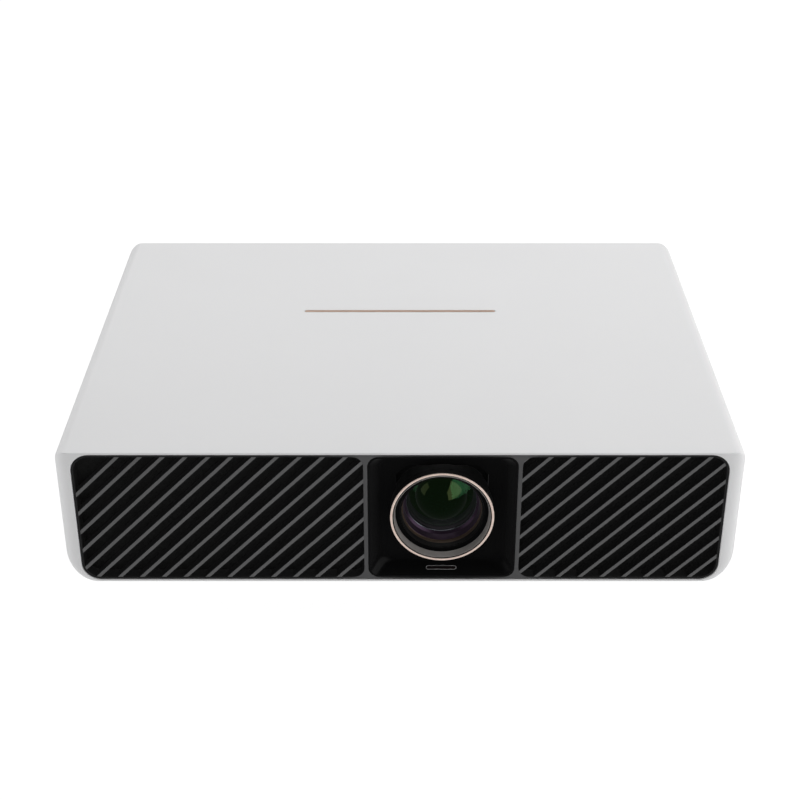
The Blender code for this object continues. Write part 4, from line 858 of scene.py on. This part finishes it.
def grille(name):
    """Slanting ribs across one cell, and the rim that holds them at the back."""
    overlap, rib_recess, shortest_edge, least_area = 0.0006, 0.00015, 0.00005, 0.000004
    rim_w, rim_t = 0.0033, 0.002
    left, right, radii = CELLS[name]
    outline = [(x, z + FRAME_Z) for x, z in cell(left, right, radii, overlap)]
    across = (-math.sin(SLANT), math.cos(SLANT))
    values = [x * across[0] + z * across[1] for x, z in outline]
    first = math.ceil((min(values) - RIB_W - RIB_OFFSET) / RIB_PITCH)
    last = math.floor((max(values) + RIB_W - RIB_OFFSET) / RIB_PITCH)
    bm = bmesh.new()
    for i in range(first, last + 1):
        line = RIB_OFFSET + i * RIB_PITCH
        if line > LAST_RIB:
            continue
        part = clip(outline, across, line + RIB_W / 2)
        part = clip(part, (-across[0], -across[1]), -(line - RIB_W / 2))
        kept = [p for n, p in enumerate(part) if math.dist(p, part[n - 1]) > shortest_edge]
        if len(kept) < 3 or area(kept) < least_area:
            continue
        rib = flat_form([kept], RIB_DEPTH, 0.0002, 2)
        join(bm, rib, Matrix.Translation((0, FRAME_Y + rib_recess + RIB_DEPTH / 2, 0)))
    # painted shade: the ribs' sides, and the rim joined below, get the near-black second finish
    painted_shade_on_sides(bm)
    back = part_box(name)[1].y
    rim = flat_form([cell(left, right, radii, -GAP), cell(left, right, radii, -rim_w)], rim_t, 0.0002)
    join(bm, rim, Matrix.Translation((0, back - rim_t / 2, FRAME_Z)), 1)
    finish(name + "_louvre", bm, [M["rib"], M["rib_side"]], stands_for=[name], recalc=False)


def dust_screen(name):
    """A fine black screen that closes the grille, behind its ribs."""
    left, right, radii = CELLS[name]
    screen_t, screen_depth = 0.0004, 0.0072
    screen = flat_form([cell(left, right, radii, -2 * GAP)], screen_t, screen_t / 4, 1)
    move(screen, Matrix.Translation((0, FRAME_Y + screen_depth, FRAME_Z)))
    finish(name + "_screen", screen, M["screen"], recalc=False)


# ---------------------------------------------------------------- lens surround


def lens_surround():
    low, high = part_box("lens_surround")
    width, height = high.x - low.x, high.z - low.z
    front = low.y
    rim, side, end, depth = SURROUND_RIM, DISH_SIDE, DISH_END, DISH_DEPTH
    aperture = height / 2 - rim - end - 0.0010 - (LENS_Z - FRAME_Z)
    corner_r = CELL_R - GAP

    def ring(inset_x, inset_z, y, radius):
        across, up = width - 2 * inset_x, height - 2 * inset_z
        shape = rounded_rect(across, up, radius, (LENS_X, FRAME_Z), EDGE_STEPS)
        return [(x, front + y, z) for x, z in shape]

    rings = []
    for inset, y in ((0, 0.0120), (0, 0.0003), (0.0001, 0.0001), (EDGE_BEVEL, 0), (rim - 0.0001, 0)):
        rings.append(ring(inset, inset, y, corner_r))
    reach = 0.0042
    for t in (0.04, 0.15, 0.30, 0.45, 0.60):
        rings.append(ring(rim + side * t, rim + end * t, depth * t, corner_r + 0.0010 * t))
    knee_x, knee_z, knee_y = rim + side * 0.60, rim + end * 0.60, depth * 0.60
    for i in range(1, 13):
        t = i / 12
        bx = (1 - t) ** 2 * knee_x + 2 * t * (1 - t) * (rim + side) + t * t * (rim + side + reach)
        bz = (1 - t) ** 2 * knee_z + 2 * t * (1 - t) * (rim + end) + t * t * (rim + end + 0.0009)
        by = (1 - t) ** 2 * knee_y + 2 * t * (1 - t) * depth + t * t * depth
        rings.append(ring(bx, bz, by, corner_r + 0.0006 + 0.0016 * t))
    last = rings[-1]
    rays = [math.atan2(z - LENS_Z, x - LENS_X) for x, y, z in last]

    def around(radius, deeper):
        y = front + depth + deeper
        return [(LENS_X + radius * math.cos(a), y, LENS_Z + radius * math.sin(a)) for a in rays]

    for share in (0.5, 1.0):
        row = []
        for (x, y, z), (hole_x, _, hole_z) in zip(last, around(aperture + 0.0002, 0)):
            row.append((x + (hole_x - x) * share, y, z + (hole_z - z) * share))
        rings.append(row)
    collar_r = size("lens_trim_ring").x / 2 + 2 * GAP
    outer_r = aperture + 0.0014
    collar = [
        (aperture + 0.00006, 0.00006),
        (aperture, 0.0002),
        (aperture, 0.0046),
        (collar_r + 0.0002, 0.0046),
        (collar_r, 0.0048),
        (collar_r, 0.0060),
        (outer_r, 0.0060),
        (outer_r, 0.0010),
    ]
    for radius, deeper in collar:
        rings.append(around(radius, deeper))
    rings.append(ring(rim + side, rim + end, depth + 0.0010, CELL_R))
    bm = bmesh.new()
    loft(bm, rings, cyclic=True)
    finish("lens_dish", bm, M["dish"], stands_for=["lens_surround"], sharp=40)


def infrared_window():
    """A dark pill let into the dish's lower slope, with a fine pale line printed round it."""
    low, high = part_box("infrared_window")
    centre = (low + high) / 2
    slope = math.atan2(DISH_END, DISH_DEPTH)
    length, width = high.x - low.x, 0.0034
    turn = Matrix.Translation(centre) @ Matrix.Rotation(slope - math.pi / 2, 4, "X")
    pill = flat_form([rounded_rect(length, width, width / 2 - PILL)], 0.0011, 0.0002, 3)
    move(pill, turn)
    finish("infrared_pill", pill, M["window"], stands_for=["infrared_window"])
    inner, outer = width / 2 - 0.00055, width / 2 - 0.00025
    outline = rounded_rect(length - 0.0005, 2 * outer, outer - PILL)
    hole = rounded_rect(length - 0.0011, 2 * inner, inner - PILL)
    line = flat_form([outline, hole], 0.00008)
    move(line, turn @ Matrix.Translation((0, -0.00056, 0)))
    finish("infrared_line", line, M["pale_print"])


# ---------------------------------------------------------------- lens

LENS_PLACE = (LENS_X, FRONT_Y, LENS_Z)
BARREL_R = size("lens_trim_ring").x / 2
BORE_R = BARREL_R - 0.0055
CELL_R_OUT = BORE_R - GAP


def lens_turn(bm, profile, material=0, steps=LENS_STEPS, closed=False):
    """Adds a body turned about the lens's axis; depths count from the shell's front."""
    turn_into(bm, profile, LENS_PLACE, steps, material, closed)


def weld(bm):
    bmesh.ops.remove_doubles(bm, verts=bm.verts, dist=WELD)


def lens_barrel():
    band = BARREL_R - 0.0014
    ring = [
        (BARREL_R - 0.0018, 0.0056),
        (BARREL_R - 0.0018, 0.0012),
        (band, 0.0009),
        (band + 0.0002, 0.0006),
        (BARREL_R - 0.0003, 0.0006),
        (BARREL_R, 0.0009),
        (BARREL_R, 0.0056),
    ]
    bm = bmesh.new()
    lens_turn(bm, soften(ring, 0.00015), closed=True)
    bmesh.ops.recalc_face_normals(bm, faces=bm.faces)
    for face in bm.faces:
        middle = face.calc_center_median()
        bright = math.dist((middle.x, middle.z), (LENS_X, LENS_Z)) > band and face.normal.y < -0.25
        face.material_index = 0 if bright else 1
    finish("trim_ring", bm, [M["ring"], M["tube"]], stands_for=["lens_trim_ring"], sharp=50)

    tube = bmesh.new()
    cone_end, step, start = 0.0057, 0.0024, 0.0060
    neck_r, cone_r = BARREL_R - 0.0021, BORE_R + step
    rear_in, rear_out, bore_end, tube_end, rear_start = 0.0169, 0.0220, 0.0356, 0.0686, 0.0406
    cone = [(neck_r, start), (neck_r, 0.0009), (BARREL_R - 0.0024, 0.0009), (cone_r, cone_end)]
    lens_turn(tube, cone, 0)
    walls = [(cone_r, cone_end), (cone_r, cone_end + 0.0003), (BORE_R, cone_end + 0.0003)]
    walls += [(BORE_R, bore_end), (rear_in, bore_end), (rear_in, tube_end), (rear_out, tube_end)]
    walls += [(rear_out, rear_start), (BARREL_R, rear_start), (BARREL_R, start), (neck_r, start)]
    lens_turn(tube, walls, 1)
    weld(tube)
    finish("barrel", tube, [M["chamfer"], M["tube"]], stands_for=["lens_tube"], sharp=30)


def lens_front():
    """The moving cell with its wall's steps, the ring that holds the glass, and the glass."""
    body = "focus_cell_body"
    cell_bm = bmesh.new()
    r = CELL_R_OUT
    back = 0.0340
    lip = [(r, back), (r, 0.0063), (r - 0.0003, 0.0060), (r - 0.0005, 0.0060)]
    lip += [(r - 0.0007, 0.0062), (r - 0.0010, 0.0094)]
    lens_turn(cell_bm, lip, 3)
    step = [(r - 0.0010, 0.0094), (r - 0.0012, 0.0112), (r - 0.0013, 0.0116), (r - 0.0017, 0.0118)]
    lens_turn(cell_bm, step, 0)
    wall = [(r - 0.0017, 0.0118), (r - 0.0019, 0.0119), (r - 0.0026, 0.0165), (r - 0.0026, 0.0192)]
    wall += [(r - 0.0053, 0.0280), (r - 0.0053, back), (r, back)]
    lens_turn(cell_bm, wall, 2)
    weld(cell_bm)
    looks = [M["bronze"], M["silver"], M["purple"], M["black"]]
    finish("cell", cell_bm, looks, body, ["lens_cell"], sharp=30)

    ring = bmesh.new()
    low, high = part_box("retaining_ring")
    out = (high.x - low.x) / 2
    start = low.y - FRONT_Y
    end = start + 0.0020
    face = [(out, end), (out, start), (out - 0.0004, start - 0.0001), (out - 0.0015, start + 0.0016)]
    lens_turn(ring, face, 0)
    seat = [(out - 0.0015, start + 0.0016), (out - 0.0019, start + 0.0018), (out - 0.0019, end)]
    lens_turn(ring, seat + [(out, end)], 1)
    weld(ring)
    finish("retainer", ring, [M["purple"], M["silver"]], body, ["retaining_ring"], sharp=30)

    edge_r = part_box("front_lens")[1].x - LENS_X
    dome_r, edge_depth = 0.0204, 0.0191
    sag = edge_depth - (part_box("front_lens")[0].y - FRONT_Y)
    curve = (dome_r * dome_r + sag * sag) / (2 * sag)
    half = math.asin(dome_r / curve)
    centre = edge_depth + curve * math.cos(half)
    dome = [(0, centre - curve)]
    for i in range(1, 29):
        a = half * i / 28
        dome.append((curve * math.sin(a), centre - curve * math.cos(a)))
    back = [(edge_r, edge_depth), (edge_r, edge_depth + 0.0040), (dome_r * 0.97, edge_depth + 0.0040)]
    for i in range(27, 0, -1):
        a = half * i / 28
        back.append((curve * math.sin(a) * 0.97, centre + 0.0026 - curve * math.cos(a) * 0.98))
    back.append((0, centre + 0.0026 - curve * 0.98))
    glass_bm = bmesh.new()
    lens_turn(glass_bm, dome + back, steps=GLASS_STEPS)
    finish("front_element", glass_bm, M["front_glass"], body, ["front_lens"], sharp=40)

    core = bmesh.new()
    radius = 0.0158
    middle = 0.0110 + radius
    rows = [(0, middle - radius)]
    for i in range(1, 25):
        a = math.radians(80) * i / 24
        rows.append((radius * math.sin(a), middle - radius * math.cos(a)))
    shelf, back_depth, rim_r = middle + 0.001, middle + 0.004, 0.0196
    rows += [(radius, shelf), (rim_r, shelf), (rim_r, back_depth), (0, back_depth)]
    lens_turn(core, rows, steps=GLASS_STEPS)
    finish("inner_element", core, M["core_glass"], body, sharp=40)


# ---------------------------------------------------------------- rear


def rear_plate(name, outline, holes, look, node):
    low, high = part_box(node)
    bm = flat_form([outline] + holes, high.y - low.y, 0.0002, 2)
    move(bm, Matrix.Translation((0, (high.y + low.y) / 2, FRAME_Z)))
    finish(name, bm, M[look], stands_for=[node])


def port_outline(grow=0.0):
    low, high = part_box("port_plate")
    middle = ((low.x + high.x) / 2, (low.z + high.z) / 2 - FRAME_Z)
    return rounded_rect(high.x - low.x + 2 * grow, high.z - low.z + 2 * grow, 0.0020 + grow, middle, 6)


def port_plate():
    holes = []
    for node in ("lan_socket", "hdmi_socket_1", "hdmi_socket_2", "usb_socket_1", "usb_socket_2"):
        low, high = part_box(node)
        middle = ((low.x + high.x) / 2, (low.z + high.z) / 2 - FRAME_Z)
        holes.append(rounded_rect(high.x - low.x + 0.0008, high.z - low.z + 0.0008, 0.0004, middle, 3))
    audio = mid("audio_socket")
    holes.append(circle(0.0036, (audio.x, audio.z - FRAME_Z), 48))
    rear_plate("socket_plate", port_outline(), holes, "dark_plastic", "port_plate")


def rear_panel():
    holes = [port_outline(GAP)]
    low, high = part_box("ac_inlet")
    middle = ((low.x + high.x) / 2, (low.z + high.z) / 2 - FRAME_Z)
    holes.append(rounded_rect(high.x - low.x + 0.0008, high.z - low.z + 0.0008, 0.0034, middle, 8))
    for key in KEYS:
        centre = mid(key)
        radius = size(key).x / 2 - KEY_FLANGE + GAP
        holes.append(circle(radius, (centre.x, centre.z - FRAME_Z), 48))
    for speaker in ("left_speaker", "right_speaker"):
        centre = mid(speaker)
        reach = size(speaker).x / 2 - 0.0020
        for i in range(7):
            offset = (i - 3) * 0.0062
            tall = 2 * math.sqrt(max(reach * reach - offset * offset, 0.0048**2))
            holes.append(rounded_rect(0.0024, tall, 0.00118, (centre.x + offset, centre.z - FRAME_Z), 6))
    edge = rounded_rect(REAR_HIGH.x - REAR_LOW.x, REAR_HIGH.z - REAR_LOW.z, FRAME_R)
    rear_plate("rear_cover", edge, holes, "black_plastic", "rear_panel")


KEYS = ("power_key", "ok_key", "up_key", "down_key", "left_key", "right_key")


def rear_turn(bm, profile, x, z, material=0, closed=False):
    """A body turned about an axis that points to the rear; depths grow towards the rear."""
    part = bmesh.new()
    turn_into(part, profile, (0, 0, 0), 48, material, closed)
    join(bm, part, Matrix.Translation((x, 0, z)))


def mark(bm, loops, x, z, y):
    """A thin raised sign on a key."""
    part = flat_form(loops, 0.00012)
    join(bm, part, Matrix.Translation((x, y, z)), 1)


def keys():
    for key in KEYS:
        low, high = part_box(key)
        x, z = (low.x + high.x) / 2, (low.z + high.z) / 2
        radius = (high.x - low.x) / 2 - KEY_FLANGE
        face = high.y
        bm = bmesh.new()
        flange_y, flange_back, stem_r = REAR_INNER_Y - GAP, REAR_INNER_Y - 0.0013, 0.0015
        profile = [(0, face - 0.00025), (radius * 0.45, face - 0.0002), (radius - 0.0007, face)]
        profile += [(radius - 0.0003, face - 0.0001), (radius, face - 0.0005), (radius, flange_y)]
        profile += [(radius + KEY_FLANGE, flange_y), (radius + KEY_FLANGE, flange_back)]
        profile += [(stem_r, flange_back), (stem_r, low.y), (0, low.y)]
        rear_turn(bm, profile, x, z)
        top = face - 0.00016
        if key == "power_key":
            loop = arc((0, 0), 0.0021, 120, 420, 24) + arc((0, 0), 0.0017, 420, 120, 24)
            mark(bm, [loop], x, z, top)
            mark(bm, [rounded_rect(0.0004, 0.0016, 0.00018, (0, 0.0016), 3)], x, z, top)
        elif key == "ok_key":
            mark(bm, [circle(0.0010, steps=24), circle(0.0007, steps=24)], x, z, top)
        else:
            turn = {"up_key": 90, "down_key": 270, "left_key": 0, "right_key": 180}[key]
            mark(bm, [arc((0, 0), 0.0013, turn, turn + 360, 3)[:-1]], x, z, top)
        finish(key + "_cap", bm, [M["key"], M["pale_print"]], key + "_body", [key], recalc=False)


def socket_shell(node, mouth, extra):
    """A folded metal shell with a flared lip, and what sits inside its mouth."""
    low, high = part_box(node)
    centre = (low + high) / 2
    width, height = high.x - low.x, high.z - low.z
    mouth_w, mouth_h, depth = mouth
    bm = bmesh.new()

    def ring(w, h, y):
        return [(x, y, z) for x, z in rounded_rect(w, h, 0.0004, (centre.x, centre.z), 4)]

    face = high.y
    rings = [
        ring(mouth_w, mouth_h, face - depth),
        ring(mouth_w, mouth_h, face - 0.0004),
        ring(mouth_w + 0.0003, mouth_h + 0.0003, face),
        ring(width - 0.0002, height - 0.0002, face),
        ring(width, height, face - 0.0002),
        ring(width, height, low.y),
    ]
    loft(bm, rings, capped=True)
    extra(bm, centre, face, depth)
    return bm


def inside(bm, centre, x, half, y, z, bevel, material):
    """A block in a socket's mouth, x and z counted from the socket's middle."""
    low = (centre.x + x - half, y[0], centre.z + z[0])
    high = (centre.x + x + half, y[1], centre.z + z[1])
    block(bm, low, high, bevel, material)


def rear_sockets():
    """The sockets: a tongue, its contacts and the springs or lamps that show in each mouth."""
    def hdmi(bm, centre, face, depth):
        back = face - depth
        inside(bm, centre, 0, 0.0048, (back, face - 0.0012), (-0.0004, 0.0004), 0.0001, 1)
        for i in range(9):
            x = i * 0.0010 - 0.0040
            inside(bm, centre, x, 0.00025, (back, face - 0.0020), (-0.00050, -0.00038), 0, 2)
        for side in (-1, 1):
            x = side * 0.00625
            inside(bm, centre, x, 0.0008, (back, face - 0.0003), (-0.0023, -0.0009), 0.0002, 0)

    def usb(bm, centre, face, depth):
        back = face - depth
        inside(bm, centre, 0, 0.0056, (back, face - 0.0010), (0.0002, 0.0020), 0.0002, 3)
        for i in range(4):
            x = i * 0.0024 - 0.0036
            inside(bm, centre, x, 0.0005, (back, face - 0.0025), (0.00005, 0.00025), 0, 2)

    def lan(bm, centre, face, depth):
        back = face - depth
        for i in range(8):
            x = i * 0.00102 - 0.00357
            inside(bm, centre, x, 0.00022, (back, face - 0.0035), (0.0022, 0.0026), 0, 2)
        for side in (-1, 1):
            x, y = side * 0.0043, (back + 0.0002, face - 0.0008)
            inside(bm, centre, x, 0.0013, y, (-0.0040, -0.0034), 0.0001, 1)
        for side in (-1, 1):
            x, y = side * 0.0060, (face - 0.0012, face + 0.0001)
            inside(bm, centre, x, 0.0012, y, (0.0045, 0.0060), 0.0002, 4)

    looks = [M["steel"], M["black_plastic"], M["contact"], M["blue_plastic"], M["white_plastic"]]
    hdmi_mouth, usb_mouth, lan_mouth = (0.0139, 0.0046, 0.0090), (0.0126, 0.0052, 0.0120), (0.0118, 0.0084, 0.0120)
    for node in ("hdmi_socket_1", "hdmi_socket_2"):
        finish(node + "_port", socket_shell(node, hdmi_mouth, hdmi), looks, stands_for=[node])
    for node in ("usb_socket_1", "usb_socket_2"):
        finish(node + "_port", socket_shell(node, usb_mouth, usb), looks, stands_for=[node])
    finish("lan_port", socket_shell("lan_socket", lan_mouth, lan), looks, stands_for=["lan_socket"])

    low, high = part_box("audio_socket")
    centre = (low + high) / 2
    bm = bmesh.new()
    block(bm, low, (high.x, REAR_INNER_Y - GAP, high.z), 0.0003, 0)
    tube = [(0.0018, low.y + 0.002), (0.0018, high.y - 0.0003), (0.0021, high.y), (0.0030, high.y)]
    tube += [(0.0032, high.y - 0.0002), (0.0032, REAR_INNER_Y - 0.0004)]
    rear_turn(bm, tube, centre.x, centre.z)
    ring = [(0.0021, high.y), (0.0021, high.y + 0.0001), (0.0028, high.y + 0.0001), (0.0028, high.y)]
    rear_turn(bm, ring, centre.x, centre.z, material=1, closed=True)
    finish("audio_port", bm, [M["black_plastic"], M["contact"]], stands_for=["audio_socket"])

    low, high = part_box("ac_inlet")
    centre = (low + high) / 2
    width, height = high.x - low.x, high.z - low.z

    def ring(w, h, y, radius):
        return [(x, y, z) for x, z in rounded_rect(w, h, radius, (centre.x, centre.z), 8)]

    face = high.y
    bm = bmesh.new()
    rings = [
        ring(0.0244, 0.0169, face - 0.0160, 0.0030),
        ring(0.0244, 0.0169, face - 0.0005, 0.0030),
        ring(0.0250, 0.0175, face, 0.0032),
        ring(width - 0.0006, height - 0.0006, face, 0.0028),
        ring(width, height, face - 0.0004, 0.0030),
        ring(width, height, low.y, 0.0030),
    ]
    loft(bm, rings, capped=True)
    for x, z in ((-0.0070, -0.0030), (0.0070, -0.0030), (0, 0.0030)):
        pin_low = (centre.x + x - 0.0010, face - 0.0162, centre.z + z - 0.0020)
        pin_high = (centre.x + x + 0.0010, face - 0.0053, centre.z + z + 0.0020)
        block(bm, pin_low, pin_high, 0.0004, 1, 3)
    finish("mains_inlet", bm, [M["black_plastic"], M["steel"]], stands_for=["ac_inlet"])


# ---------------------------------------------------------------- feet


def upright_turn(bm, profile, x, y):
    """Open fault: the minus sign hangs the body below the floor; it should stand on it."""
    part = bmesh.new()
    turn_into(part, [(r, -h) for r, h in profile], (0, 0, 0), 64)
    join(bm, part, Matrix.Translation((x, y, 0)) @ Matrix.Rotation(math.pi / 2, 4, "X"))


def thread(low_z, high_z):
    """The stud's thread as (radius, z) points, each higher than the one before."""
    pitch, flank_end, crest_r, root_r = 0.00125, 0.0012, STUD_R, STUD_R - 0.0004
    points = []
    z = low_z
    while z < high_z - flank_end:
        points += [(crest_r, z), (crest_r, z + 0.0003), (root_r, z + 0.0009), (root_r, z + 0.0010)]
        points.append((crest_r, z + flank_end))
        z += pitch
    points += [(crest_r, high_z - 0.0004), (root_r, high_z)]
    rows = []
    last = -1
    for radius, height in points:
        if height <= last:
            height = last + 0.00001
        last = height
        rows.append((radius, min(height, high_z)))
    return rows


WHEEL_R, WHEEL_T, STUD_R, GRIP_DEPTH, WHEEL_STEPS = 0.0110, 0.0042, 0.0040, 0.00045, 96


def feet():
    """The thumb screws with their pads at the front, and the rubber feet at the rear."""
    for side in ("left", "right"):
        centre = mid(f"{side}_foot_screw")
        low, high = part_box(f"{side}_foot_screw")
        bm = bmesh.new()
        bottom, top = low.z, low.z + WHEEL_T
        wheel = [
            (WHEEL_R - 0.0006, bottom, False),
            (WHEEL_R - 0.0001, bottom + 0.0006, True),
            (WHEEL_R, bottom + 0.0010, True),
            (WHEEL_R, top - 0.0010, True),
            (WHEEL_R - 0.0001, top - 0.0006, True),
            (WHEEL_R - 0.0006, top, False),
            (STUD_R, top, False),
        ]
        wheel += [(radius, z, False) for radius, z in thread(top, high.z)]
        rows = []
        for radius, z, grip in wheel:
            ring = []
            for i in range(WHEEL_STEPS):
                a = 2 * math.pi * i / WHEEL_STEPS
                r = radius - (GRIP_DEPTH if grip and i % 4 in (2, 3) else 0)
                ring.append((centre.x + r * math.cos(a), centre.y + r * math.sin(a), z))
            rows.append(ring)
        loft(bm, rows, capped=True)
        screw = f"{side}_foot_screw"
        finish(f"{side}_thumb_screw", bm, M["dark_plastic"], screw + "_body", [screw], sharp=25)

        centre = mid(f"{side}_foot_pad")
        pad = bmesh.new()
        profile = [(0, 0.0), (0.0092, 0.0), (0.0100, 0.0004), (0.0105, 0.0011), (0.0105, 0.0024)]
        upright_turn(pad, profile + [(0.0101, 0.0030), (0, 0.0030)], centre.x, centre.y)
        finish(f"{side}_pad", pad, M["rubber"], f"{side}_foot_pad_body", [f"{side}_foot_pad"])

        low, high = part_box(f"{side}_rear_foot")
        centre = (low + high) / 2
        foot = bmesh.new()
        top = high.z
        profile = [(0, 0.0), (0.0096, 0.0), (0.0104, 0.0004), (0.0110, 0.0012), (0.0110, top), (0, top)]
        upright_turn(foot, profile, centre.x, centre.y)
        finish(f"{side}_rubber_foot", foot, M["rubber"], stands_for=[f"{side}_rear_foot"])


shell()
accent_bar()
front_frame()
grille("left_grille")
grille("right_grille")
dust_screen("left_grille")
dust_screen("right_grille")
lens_surround()
infrared_window()
lens_barrel()
lens_front()
port_plate()
rear_panel()
keys()
rear_sockets()
feet()

for piece in SCENE.objects:
    if piece.type == "MESH":
        piece.visible_glossy = False
